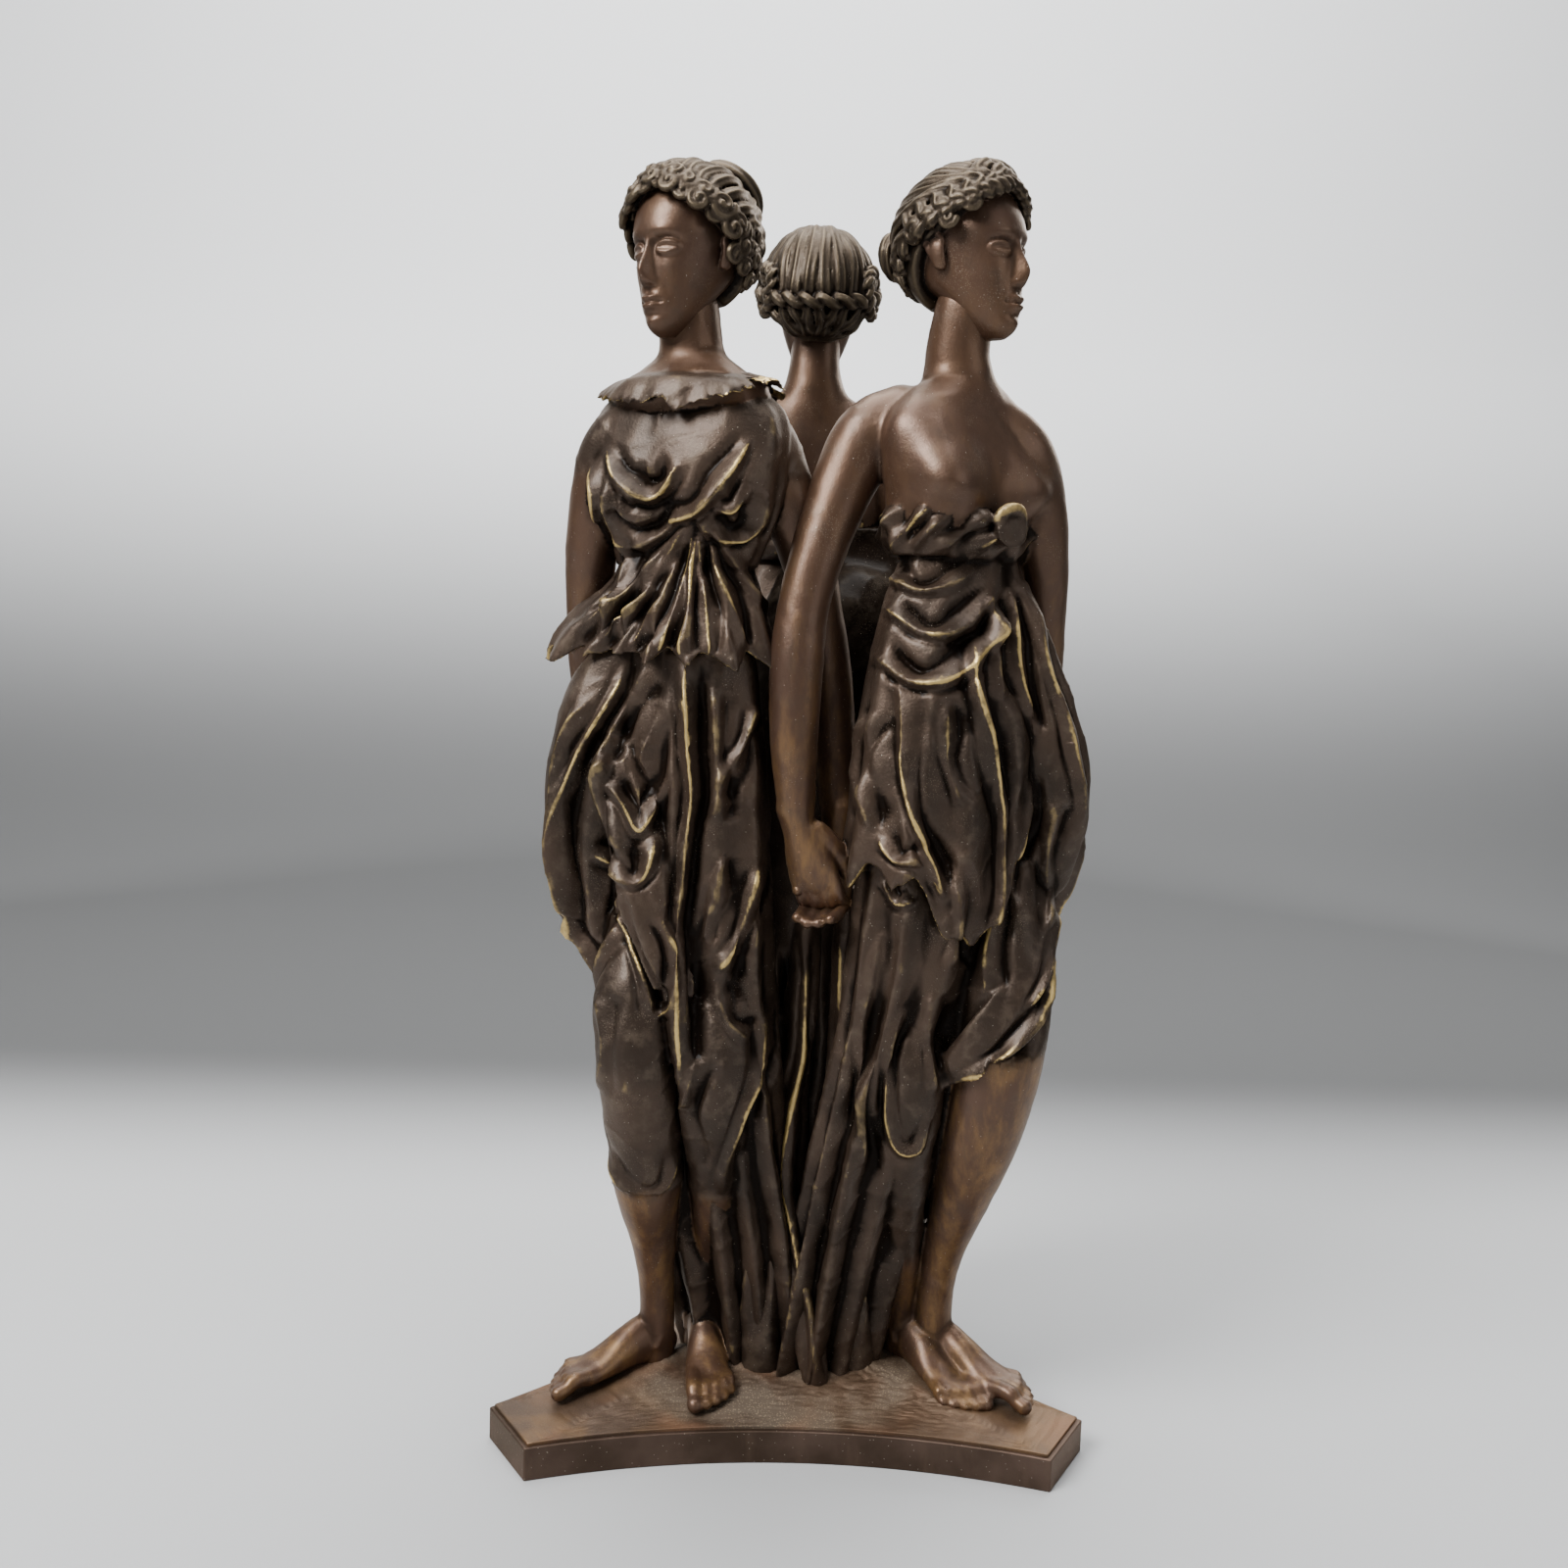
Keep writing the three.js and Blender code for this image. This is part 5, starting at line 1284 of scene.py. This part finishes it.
FAR_FOLDS = [
    (180, [
        ([[0, 288], [-3, 250], [2, 214], [-2, 176], [1, 136], [-2, 96]], 3.2, 2.2, 0.9, 0.2),
        ([[-30, 250], [-24, 232], [-10, 220], [4, 226]], 2.4, 2.1, 0.7, 0.3),
        ([[30, 236], [22, 214], [8, 200]], 2.4, 2.1, 0.6, 0.3),
        ([[-30, 206], [-24, 186], [-12, 172]], 2.2, 2.0, 0.5, 0.3),
        ([[28, 190], [24, 164], [12, 150]], 2.2, 2.0, 0.6, 0.3),
        ([[-26, 150], [-22, 118], [-12, 92]], 2.0, 2.0, 0.4, 0.3),
        ([[26, 146], [24, 112], [14, 84]], 2.0, 2.0, 0.4, 0.3),
        ([[0, 342], [-12, 322], [-24, 302], [-34, 284]], 2.2, 1.8, 0.7, 0.3),
        ([[0, 341], [-6, 318], [-14, 298], [-20, 282]], 2.2, 1.8, 0.9, 0.3),
        ([[1, 340], [1, 316], [-3, 296], [-4, 280]], 2.4, 1.8, 1.0, 0.2),
        ([[2, 340], [8, 318], [12, 298], [13, 281]], 2.2, 1.8, 0.8, 0.3),
        ([[3, 341], [15, 322], [24, 304], [30, 285]], 2.2, 1.8, 0.6, 0.3),
        ([[-26, 338], [-14, 330], [2, 330], [20, 338]], 2.4, 2.0, 0.8, 0.3),
        ([[-18, 110], [-20, 70], [-26, 30]], 2.6, 2.2, 0.6, 0.2),
        ([[20, 104], [24, 66], [28, 30]], 2.6, 2.2, 0.6, 0.2),
    ]),
    (110, [
        ([[22, 288], [30, 250], [26, 206], [32, 160], [36, 100], [34, 40]], 2.6, 2.2, 0.6, 0.2),
        ([[46, 284], [44, 240], [50, 190], [48, 140], [44, 80]], 2.4, 2.2, 0.4, 0.2),
    ]),
    (-110, [
        ([[-22, 288], [-30, 250], [-26, 206], [-32, 160], [-36, 100], [-34, 40]], 2.6, 2.2, 0.6, 0.2),
        ([[-46, 284], [-44, 240], [-50, 190], [-48, 140], [-44, 80]], 2.4, 2.2, 0.4, 0.2),
    ]),
]


def middle_forms():
    core = trunk([[340, 16, 27, 15, 4], [328, 14, 25, 22, 6], [300, 8, 11, 27, 17], [220, 2, 0, 27, 22],
                  [120, 0, 1, 28, 24],
                  [0, 1, 4, 29, 25]], None, 140, 160)
    folds = [
        [[3, -30, 200, 4, 4], [1, -30, 160, 6, 6], [-2, -29, 110, 6, 6], [0, -29, 70, 6, 6],
         [7, -31, 34, 6.5, 5],
         [11, -33, 6, 5, 3]],
        [[17, -28, 200, 5, 5], [18, -28, 150, 6, 6], [17, -27, 100, 7, 6], [22, -25, 50, 8, 7],
         [27, -24, 10, 8, 6]],
        [[-9, -20, 176, 3, 3], [-11, -28, 130, 6, 6], [-10, -27, 70, 7, 7], [-10, -24, 8, 8, 7]],
    ]
    return [core] + [cloth_limb(rows, 4, 1.8, 110, 220, twist=0.1, worn=0, blunt=0.5) for rows in folds]


MIDDLE_FOLDS = [
    (0, [
        ([[1, 205], [2, 172], [-1, 140], [-3, 100], [3, 64], [10, 34], [12, 18]], 2.8, 1.9, 1.0, 0.3),
        ([[15, 200], [17, 160], [16, 128], [14, 96]], 2.4, 1.8, 0.9, 0.2),
        ([[-10, 190], [-12, 150], [-14, 112], [-16, 70], [-18, 30]], 2.4, 2.0, 0.4, 0.2),
        ([[22, 150], [20, 110], [24, 70], [30, 28]], 2.4, 2.0, 0.3, 0.2),
        ([[8, 120], [8, 84], [14, 54]], 2.0, 1.9, 0.2, 0.2),
    ]),
]


# Plinth and ground

def outline(sizes, inset):
    """Three hollowed sides and three cut corners, drawn in by inset, anticlockwise."""
    points = []

    def corner(k):
        a = (90 + 120 * k) * DEGREE
        out, along = np.array([math.cos(a), math.sin(a)]), np.array([-math.sin(a), math.cos(a)])
        half = sizes.corner_half_width - inset * 0.6
        middle = (sizes.corner_reach - inset) * out
        return middle - half * along, middle + half * along

    for k in range(3):
        start, end = corner(k)
        following = corner(k + 1)[0]
        for t in np.arange(CORNER_SHARE) / CORNER_SHARE:
            points.append(start + (end - start) * t)
        inward = -(end + following)
        inward /= np.linalg.norm(inward)
        for t in np.arange(HOLLOW_SHARE) / HOLLOW_SHARE:
            points.append(end + (following - end) * t + inward * 4 * sizes.side_hollow * t * (1 - t))
    return np.array(points)


def plinth_mesh(sizes):
    bm = bmesh.new()
    points = outline(sizes, 0)
    made = bmesh.ops.create_circle(bm, segments=len(points), radius=1, cap_ends=True)
    order = sorted(made["verts"], key=lambda v: math.atan2(v.co.y, v.co.x))
    for vert, (x, y) in zip(order, points):
        vert.co = (x, y, 0)
    bm.faces.ensure_lookup_table()
    face = bm.faces[0]
    raised = bmesh.ops.extrude_face_region(bm, geom=[face])
    top = [g for g in raised["geom"] if isinstance(g, bmesh.types.BMVert)]
    bmesh.ops.translate(bm, verts=top, vec=(0, 0, sizes.plinth_height))
    bmesh.ops.recalc_face_normals(bm, faces=bm.faces)
    sharp = [e for e in bm.edges if len(e.link_faces) == 2 and e.calc_face_angle() > 30 * DEGREE]
    bmesh.ops.bevel(bm, geom=sharp, offset=0.0006, offset_type="OFFSET", segments=3, profile=0.5,
                    affect="EDGES", material=-1)
    mesh = bpy.data.meshes.new("plinth_slab")
    bm.to_mesh(mesh)
    bm.free()
    return mesh


def ground_mesh(sizes):
    """The domed, granular ground under the feet."""
    rim = outline(sizes, sizes.ledge) / MM
    columns = len(rim)
    form = Form(columns, 112)
    # The outline starts at the +Y corner, and the ball's angles there are 180 degrees
    place = rim[np.rint((form.angle + 180) / 360 * columns).astype(int) % columns]
    s = form.share
    share = np.where(s < 0.86, (s / 0.86) ** 0.8, np.where(s < 0.93, 1.0, 1 - (s - 0.93) / 0.07))
    rise = sizes.ground_rise / MM * smooth(1.15 * (1 - share)) + 1.2
    edge = np.clip((s - 0.86) / 0.07, 0, 1)
    z = np.where(s < 0.86, rise, np.where(s < 0.93, 1.2 * (1 - edge) - 0.3 * edge, -0.3))
    points = np.column_stack([place * share[:, None], z])
    top = s < 0.855
    inner = smooth((0.99 - share) / 0.03)
    grains = np.array([noise.noise((x * 0.55, y * 0.55, 3.0)) + 0.6 * noise.noise((x * 1.3, y * 1.3, 7.0))
                       + 0.9 * noise.noise((x * 0.16, y * 0.16, 1.0)) if on else 0.0
                       for (x, y, _), on in zip(points, top)])
    points[:, 2] += grains * 0.55 * inner
    form.points = points
    mesh = form.finished()
    bm = bmesh.new()
    bm.from_mesh(mesh)
    bmesh.ops.remove_doubles(bm, verts=bm.verts, dist=1e-6)
    bmesh.ops.recalc_face_normals(bm, faces=bm.faces)
    bm.to_mesh(mesh)
    bm.free()
    mesh.shade_smooth()
    weather(mesh)
    return mesh


# Materials

class Maths:
    """A number from a node's socket. Sums on it add Math nodes."""

    def __init__(self, nodes, socket):
        self.nodes, self.socket = nodes, socket

    def _with(self, operation, other, swapped=False):
        pair = (other, self) if swapped else (self, other)
        return self.nodes.add("ShaderNodeMath", {"operation": operation}, {0: pair[0], 1: pair[1]})

    def __add__(self, other):
        return self._with("ADD", other)

    def __radd__(self, other):
        return self._with("ADD", other)

    def __sub__(self, other):
        return self._with("SUBTRACT", other)

    def __rsub__(self, other):
        return self._with("SUBTRACT", other, True)

    def __mul__(self, other):
        return self._with("MULTIPLY", other)

    def __rmul__(self, other):
        return self._with("MULTIPLY", other)

    def __pow__(self, other):
        return self._with("POWER", other)

    def most(self, other):
        return self._with("MAXIMUM", other)

    def clamped(self):
        return self.nodes.add("ShaderNodeMath", {"operation": "ADD", "use_clamp": True}, {0: self, 1: 0.0})


class Nodes:
    """The node tree of one material."""

    def __init__(self, name):
        self.material = bpy.data.materials.new(name)
        self.material.use_nodes = True
        self.tree = self.material.node_tree
        self.tree.nodes.clear()

    def add(self, kind, settings=None, sockets=None, output=0):
        node = self.tree.nodes.new(kind)
        for name, value in (settings or {}).items():
            setattr(node, name, value)
        for name, value in (sockets or {}).items():
            socket = node.inputs[name]
            if isinstance(value, Maths):
                self.tree.links.new(value.socket, socket)
            elif hasattr(value, "is_output"):
                self.tree.links.new(value, socket)
            else:
                socket.default_value = value
        if kind == "ShaderNodeMath":
            return Maths(self, node.outputs[0])
        return node.outputs[output] if node.outputs else None

    def coordinate(self, axis):
        """X, Y or Z of the place on the object, in metres."""
        place = self.add("ShaderNodeTexCoord", output=3)
        split = self.add("ShaderNodeSeparateXYZ", None, {"Vector": place}, output="XYZ".index(axis))
        return Maths(self, split)

    def reach(self):
        """Level distance from the object's upright middle line, in metres."""
        place = self.add("ShaderNodeTexCoord", output=3)
        flat = self.add("ShaderNodeVectorMath", {"operation": "MULTIPLY"}, {0: place, 1: (1, 1, 0)})
        return Maths(self, self.add("ShaderNodeVectorMath", {"operation": "LENGTH"}, {0: flat}, output=1))

    def mark(self, name):
        return Maths(self, self.add("ShaderNodeAttribute", {"attribute_name": name}, output=2))

    def ramp(self, value, low, high):
        out = self.add("ShaderNodeMapRange", {"interpolation_type": "SMOOTHSTEP"},
                       {"Value": value, "From Min": low, "From Max": high})
        return Maths(self, out)

    def cloud(self, scale, detail=4.0, rough=0.55, offset=0.0, stretch=(1, 1, 1)):
        place = self.add("ShaderNodeTexCoord", output=3)
        place = self.add("ShaderNodeMapping", None,
                         {"Vector": place, "Location": (offset, offset * 0.7, offset * 1.3),
                          "Scale": stretch})
        return Maths(self, self.add("ShaderNodeTexNoise", None,
                                    {"Vector": place, "Scale": scale, "Detail": detail,
                                     "Roughness": rough}))

    def specks(self, scale, size, offset=0.0):
        place = self.add("ShaderNodeTexCoord", output=3)
        place = self.add("ShaderNodeMapping", None, {"Vector": place, "Location": (offset, offset, offset)})
        cells = self.add("ShaderNodeTexVoronoi", None, {"Vector": place, "Scale": scale, "Randomness": 1.0})
        return 1 - self.ramp(cells, size * 0.55, size)

    def mix(self, share, a, b):
        node = self.tree.nodes.new("ShaderNodeMix")
        node.data_type = "RGBA"
        for index, value in ((0, share), (6, a), (7, b)):
            socket = node.inputs[index]
            if isinstance(value, Maths):
                self.tree.links.new(value.socket, socket)
            elif hasattr(value, "is_output"):
                self.tree.links.new(value, socket)
            elif index:
                socket.default_value = (*value, 1)
            else:
                socket.default_value = value
        return node.outputs[2]

    def finish(self, colour, roughness, metallic, height, strength=0.5, distance=0.0004, coat=0.0):
        normal = self.add("ShaderNodeBump", None,
                          {"Height": height, "Strength": strength, "Distance": distance})
        shader = self.add("ShaderNodeBsdfPrincipled", None,
                          {"Base Color": colour, "Roughness": roughness, "Metallic": metallic,
                           "Normal": normal,
                           "Specular IOR Level": 0.7, "Specular Tint": (1.0, 0.88, 0.76, 1),
                           "Coat Weight": coat,
                           "Coat Roughness": 0.25})
        self.add("ShaderNodeOutputMaterial", None, {"Surface": shader})
        return self.material


def shade(colour, factor):
    return tuple(c * factor for c in colour)


def figure_bronze(colours):
    """Dark patina on the cloth, warmer skin, khaki hair, and yellow metal on what rubs. Hollows are
    darkened, partly as dark patina and partly as painted shade.
    """
    n = Nodes("figure_patina")
    patina, skin, hair = tuple(colours.patina), tuple(colours.skin), tuple(colours.hair)
    gilt, dust = tuple(colours.gilt), tuple(colours.dust)
    is_skin, is_hair = n.mark("skin"), n.mark("hair")
    crest, hollow, proud, worn = n.mark("crest"), n.mark("hollow"), n.mark("proud"), n.mark("gilt")
    broad = n.cloud(28, 3, 0.5)
    middling = n.cloud(140, 5, 0.6, 3.1)
    fine = n.cloud(900, 3, 0.65, 7.7)
    streaks = n.cloud(110, 6, 0.68, 1.9, (1, 1, 0.3))
    cloth = n.mix(n.ramp(broad, 0.35, 0.65), shade(patina, 0.55), shade(patina, 1.15))
    cloth = n.mix(n.ramp(middling, 0.45, 0.75) * 0.4, cloth, CLOTH_BROWN)
    golden = (1 - n.ramp(n.coordinate("Z"), 0.20, 0.38)) * 0.66 + 0.12
    bare = n.mix(n.ramp(broad, 0.35, 0.68), skin, SKIN_BROWN)
    bare = n.mix(n.ramp(streaks, 0.42, 0.70) * golden, bare, GOLDEN_BROWN)
    bare = n.mix(n.ramp(middling, 0.5, 0.8) * 0.5, bare, shade(skin, 0.5))
    locks = n.mix(n.ramp(crest + middling * 0.4, 0.45, 1.15), hair, HAIR_CREST)
    colour = n.mix(is_skin, cloth, bare)
    colour = n.mix(is_hair, colour, locks)
    # Painted shade: hollows are darkened to near-black patina and made more metallic so they reflect less.
    # This is partly the darker patina held in hollows and partly shade painted into deep folds and the gaps
    # between the figures.
    recess_patina_and_shade = n.ramp(hollow, 0.02, 0.55) * (1 - is_skin * 0.55)
    colour = n.mix(recess_patina_and_shade * 0.9, colour, shade(patina, 0.16))
    haze = n.ramp(middling, 0.46, 0.66) * n.ramp(proud, 0.05, 0.5)
    haze = haze * (1 - is_skin * 0.6) * (1 - is_hair * 0.5) * 0.24
    colour = n.mix(haze, colour, dust)
    grit = n.specks(1500, 0.30) * n.ramp(n.cloud(60, 3, 0.6, 5.3), 0.5, 0.7)
    colour = n.mix(grit * 0.4, colour, GRIT)
    pale = n.specks(420, 0.075, 2.2)
    colour = n.mix(pale * 0.7, colour, PALE_SPECK)
    chips = n.specks(300, 0.2, 4.4) * n.ramp(n.cloud(22, 2, 0.5, 9.1), 0.62, 0.72) * is_skin
    colour = n.mix(chips * 0.7, colour, CHIP)
    rubbed = (n.ramp(worn + middling * 0.5 + crest * 0.25, 0.78, 1.12)).most(
        n.ramp(crest * (1 - is_skin) + middling * 0.6, 1.2, 1.5) * 0.35 * (1 - is_hair))
    rubbed = (rubbed * n.ramp(n.cloud(75, 4, 0.6, 12.0), 0.34, 0.5)).clamped()
    rubbed = rubbed * (1 - is_skin * 0.8)
    colour = n.mix(rubbed, colour, n.mix(fine, shade(gilt, 0.7), BRIGHT_METAL))
    roughness = (0.35 + broad * 0.12 + fine * 0.12 - is_skin * 0.06 + recess_patina_and_shade * 0.25 + haze * 0.2 + grit * 0.2
                 - rubbed * 0.04)
    metallic = (0.6 + is_hair * 0.25 - haze * 0.3 - grit * 0.3 + recess_patina_and_shade * 0.4 + rubbed * 0.25).clamped()
    height = fine * (0.9 - is_skin * 0.5) + middling * 0.6 - pale * 0.3
    return n.finish(colour, roughness, metallic, height, 0.5, 0.0004, 0.08)


def ground_bronze(colours):
    n = Nodes("ground_patina")
    patina, dust = tuple(colours.patina), tuple(colours.dust)
    broad, fine = n.cloud(24, 2, 0.5), n.cloud(1500, 2, 0.6, 4.0)
    middling = n.cloud(55, 3, 0.45, 6.5)
    rim = n.ramp(n.reach(), 0.055, 0.085)
    colour = n.mix(n.ramp(broad, 0.35, 0.65), shade(patina, 1.2), GROUND_BROWN)
    golden = n.ramp(middling, 0.42, 0.66) * rim
    colour = n.mix(golden * 0.45, colour, GROUND_GOLD)
    dusty = (1 - rim) * n.ramp(middling, 0.3, 0.6)
    colour = n.mix(dusty * 0.6, colour, shade(dust, 0.8))
    grains = n.specks(1100, 0.40)
    colour = n.mix(grains * (dusty * 0.35 + 0.1), colour, GROUND_GRAIN)
    rust = n.ramp(n.cloud(32, 2, 0.5, 9.0), 0.5, 0.72)
    colour = n.mix(rust * 0.4, colour, RUST)
    roughness = 0.38 + dusty * 0.3 + fine * 0.2
    metallic = (0.6 - dusty * 0.4).clamped()
    return n.finish(colour, roughness, metallic, fine, 0.4, 0.0002)


def plinth_bronze(colours):
    n = Nodes("plinth_patina")
    patina = tuple(colours.patina)
    broad, fine = n.cloud(26, 4, 0.55), n.cloud(800, 3, 0.6, 4.0)
    streaks = n.cloud(120, 4, 0.6, 2.0, (1, 1, 0.25))
    colour = n.mix(n.ramp(broad, 0.35, 0.65), patina, PLINTH_BROWN)
    colour = n.mix(n.ramp(streaks, 0.5, 0.75) * 0.25, colour, PLINTH_STREAK)
    colour = n.mix(n.specks(500, 0.10, 1.0) * 0.7, colour, PLINTH_SPECK)
    return n.finish(colour, 0.38 + broad * 0.12 + fine * 0.1, 0.75, fine, 0.25, 0.0003)


def stage_painted_light():
    n = Nodes("stage_painted_light")
    # Painted light and shade: the floor is painted darker towards the back, and the wall darker low down and
    # brighter higher up, as the studio light falls off.
    pale = 0.37 - n.ramp(n.coordinate("Y"), 0.18, 0.48) * 0.31
    wall = 0.08 + n.ramp(n.coordinate("Z"), 0.02, 0.74) ** 1.3 * 0.82
    painted_light_tone = pale.most(wall * n.ramp(n.reach(), 0.9, 1.4))
    colour = n.mix(painted_light_tone, (0.0, 0.0, 0.0), (0.99, 1.0, 1.01))
    shader = n.add("ShaderNodeBsdfPrincipled", None, {"Base Color": colour, "Roughness": 0.85})
    n.add("ShaderNodeOutputMaterial", None, {"Surface": shader})
    return n.material


def material(name, make, *inputs):
    return bpy.data.materials.get(name) or make(*inputs)


def ready(piece, material_, node):
    piece.data.materials.clear()
    piece.data.materials.append(material_)
    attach(piece, "root")
    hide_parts(node)
    return piece


def figure_piece(context, name, forms, voxel, triangles, **options):
    sizes = context.scene.statue_sizes
    for form in forms:
        form.points[:, 2] += sizes.plinth_height / MM
    piece = joined(name, forms, voxel, triangles, **options)
    bronze = material("figure_patina", figure_bronze, context.scene.statue_colours)
    return ready(piece, bronze, GROUP)


# Stage

def sweep_mesh():
    """A floor that bends up into a wall behind the statue."""
    bm = bmesh.new()
    bmesh.ops.create_grid(bm, x_segments=2, y_segments=60, size=1)
    quarter = math.pi / 2 * SWEEP_BEND
    for v in bm.verts:
        s = (v.co.y + 1) / 2 * SWEEP_LENGTH
        bend = min(max(s - SWEEP_FLOOR, 0), quarter) / SWEEP_BEND
        y = SWEEP_START + min(s, SWEEP_FLOOR) + SWEEP_BEND * math.sin(bend)
        z = SWEEP_BEND * (1 - math.cos(bend)) + max(s - SWEEP_FLOOR - quarter, 0)
        v.co = (v.co.x * SWEEP_HALF_WIDTH, y, z)
    mesh = bpy.data.meshes.new("sweep")
    bm.to_mesh(mesh)
    bm.free()
    mesh.shade_smooth()
    return mesh


def area_light(scene, name, size, power):
    data = bpy.data.lights.new(name, "AREA")
    data.size, data.energy = size, power
    lamp = bpy.data.objects.new(name, data)
    scene.collection.objects.link(lamp)
    return lamp


# Operators

class STATUE_OT_plinth(bpy.types.Operator):
    """Three-sided plinth with hollowed sides and cut corners"""
    bl_idname = "statue.plinth"
    bl_label = "Plinth"

    def execute(self, context):
        mesh = plinth_mesh(context.scene.statue_sizes)
        piece = show(bpy.data.objects.new("plinth_slab", mesh))
        ready(piece, material("plinth_patina", plinth_bronze, context.scene.statue_colours), "plinth")
        return {"FINISHED"}


class STATUE_OT_ground(bpy.types.Operator):
    """Domed ground under the figures' feet"""
    bl_idname = "statue.ground"
    bl_label = "Ground"

    def execute(self, context):
        sizes = context.scene.statue_sizes
        mesh = ground_mesh(sizes)
        mesh.transform(Matrix.Translation((0, 0, sizes.plinth_height)))
        piece = show(bpy.data.objects.new("ground", mesh))
        ready(piece, material("ground_patina", ground_bronze, context.scene.statue_colours), GROUP)
        return {"FINISHED"}


class STATUE_OT_bodies(bpy.types.Operator):
    """The three draped women up to their necks, and the cloth between them"""
    bl_idname = "statue.bodies"
    bl_label = "Bodies"

    def execute(self, context):
        sizes = context.scene.statue_sizes
        bodies = (("collared_woman", collared_body, COLLARED_FOLDS),
                  ("bare_shouldered_woman", bare_shouldered_body, BARE_SHOULDERED_FOLDS),
                  ("far_woman", far_body, FAR_FOLDS))
        for name, make, folds in bodies:
            figure_piece(context, name, make(), sizes.body_voxel, sizes.body_triangles, skin_rounds=36,
                         cloth_rounds=4,
                         carving=folds)
        middle = figure_piece(context, "middle_cloth", middle_forms(), sizes.body_voxel * MIDDLE_VOXEL,
                              MIDDLE_TRIANGLES, carving=MIDDLE_FOLDS).data
        # Painted shade: from 0.24 m up, the middle cloth is marked as a hollow so that it is painted
        # near-black, standing for the shadow between the women's backs.
        height = mesh_arrays(middle)[0][:, 2]
        write_mark(middle, "hollow",
                   np.maximum(read_mark(middle, "hollow"), smooth((height - 0.24) / 0.05)))
        return {"FINISHED"}


class STATUE_OT_heads(bpy.types.Operator):
    """The three heads with their hair"""
    bl_idname = "statue.heads"
    bl_label = "Heads"

    def execute(self, context):
        sizes = context.scene.statue_sizes
        heads = (("collared_head", collared_hair, -42, 4, (-50, -35, 431.5)),
                 ("bare_shouldered_head", swept_hair, 50, -2, (52, -37, 433.5)),
                 ("far_head", banded_hair, 180, 2, (0.5, 53, 432)))
        for name, hair, turn, nod, place in heads:
            forms = [skull_form()] + ear_forms(1) + ear_forms(-1) + hair()
            for form in forms:
                form.moved(turn=turn, nod=nod, place=place)
            figure_piece(context, name, forms, sizes.head_voxel, sizes.head_triangles, skin_rounds=2,
                         cloth_rounds=1)
        return {"FINISHED"}


class STATUE_OT_stage(bpy.types.Operator):
    """Pale floor and backdrop with painted light and shade, soft lights and the camera"""
    bl_idname = "statue.stage"
    bl_label = "Stage"

    def execute(self, context):
        scene = context.scene
        sweep = show(bpy.data.objects.new("sweep", sweep_mesh()))
        sweep.data.materials.append(stage_painted_light())
        for name, place, size, power in LIGHTS:
            lamp = area_light(scene, name, size, power)
            lamp.location = place
            aim = Vector(LIGHT_TARGET) - lamp.location
            lamp.rotation_euler = aim.to_track_quat("-Z", "Y").to_euler()
        name, place, size, power = BACKDROP_LIGHT
        lamp = area_light(scene, name, size, power)
        lamp.matrix_world = Matrix.Translation(place) @ Matrix.Rotation(60 * DEGREE, 4, "X")
        world = bpy.data.worlds.new("studio")
        scene.world = world
        world.use_nodes = True
        sky = world.node_tree.nodes["Background"].inputs
        sky["Color"].default_value = (0.80, 0.82, 0.85, 1)
        sky["Strength"].default_value = 0.20
        data = bpy.data.cameras.new("camera")
        data.sensor_width = SENSOR
        data.lens = SENSOR * FOCAL_LENGTH / PHOTO_WIDTH
        camera = bpy.data.objects.new("camera", data)
        scene.collection.objects.link(camera)
        camera.matrix_world = (Matrix.Rotation(CAMERA_AZIMUTH, 4, "Z") @ Matrix.Translation(CAMERA_PLACE)
                               @ Matrix.Rotation(CAMERA_PAN, 4, "Z")
                               @ Matrix.Rotation(math.pi / 2 - CAMERA_TILT, 4, "X")
                               @ Matrix.Rotation(CAMERA_ROLL, 4, "Z"))
        scene.camera = camera
        return {"FINISHED"}


class STATUE_PT_panel(bpy.types.Panel):
    bl_label = "Three Graces Statue"
    bl_idname = "STATUE_PT_panel"
    bl_space_type = "VIEW_3D"
    bl_region_type = "UI"
    bl_category = "Statue"

    def draw(self, context):
        for group in (context.scene.statue_sizes, context.scene.statue_colours):
            column = self.layout.column()
            for name in group.__annotations__:
                column.prop(group, name)
        for operator in OPERATORS:
            self.layout.operator(operator.bl_idname)


OPERATORS = (STATUE_OT_plinth, STATUE_OT_ground, STATUE_OT_bodies, STATUE_OT_heads, STATUE_OT_stage)
CLASSES = (StatueSizes, StatueColours, *OPERATORS, STATUE_PT_panel)


def register():
    for each in CLASSES:
        bpy.utils.register_class(each)
    bpy.types.Scene.statue_sizes = PointerProperty(type=StatueSizes)
    bpy.types.Scene.statue_colours = PointerProperty(type=StatueColours)


def unregister():
    del bpy.types.Scene.statue_colours
    del bpy.types.Scene.statue_sizes
    for each in reversed(CLASSES):
        bpy.utils.unregister_class(each)


def main():
    register()
    bpy.ops.statue.plinth()
    bpy.ops.statue.ground()
    bpy.ops.statue.bodies()
    bpy.ops.statue.heads()
    bpy.ops.statue.stage()


if __name__ == "__main__":
    main()
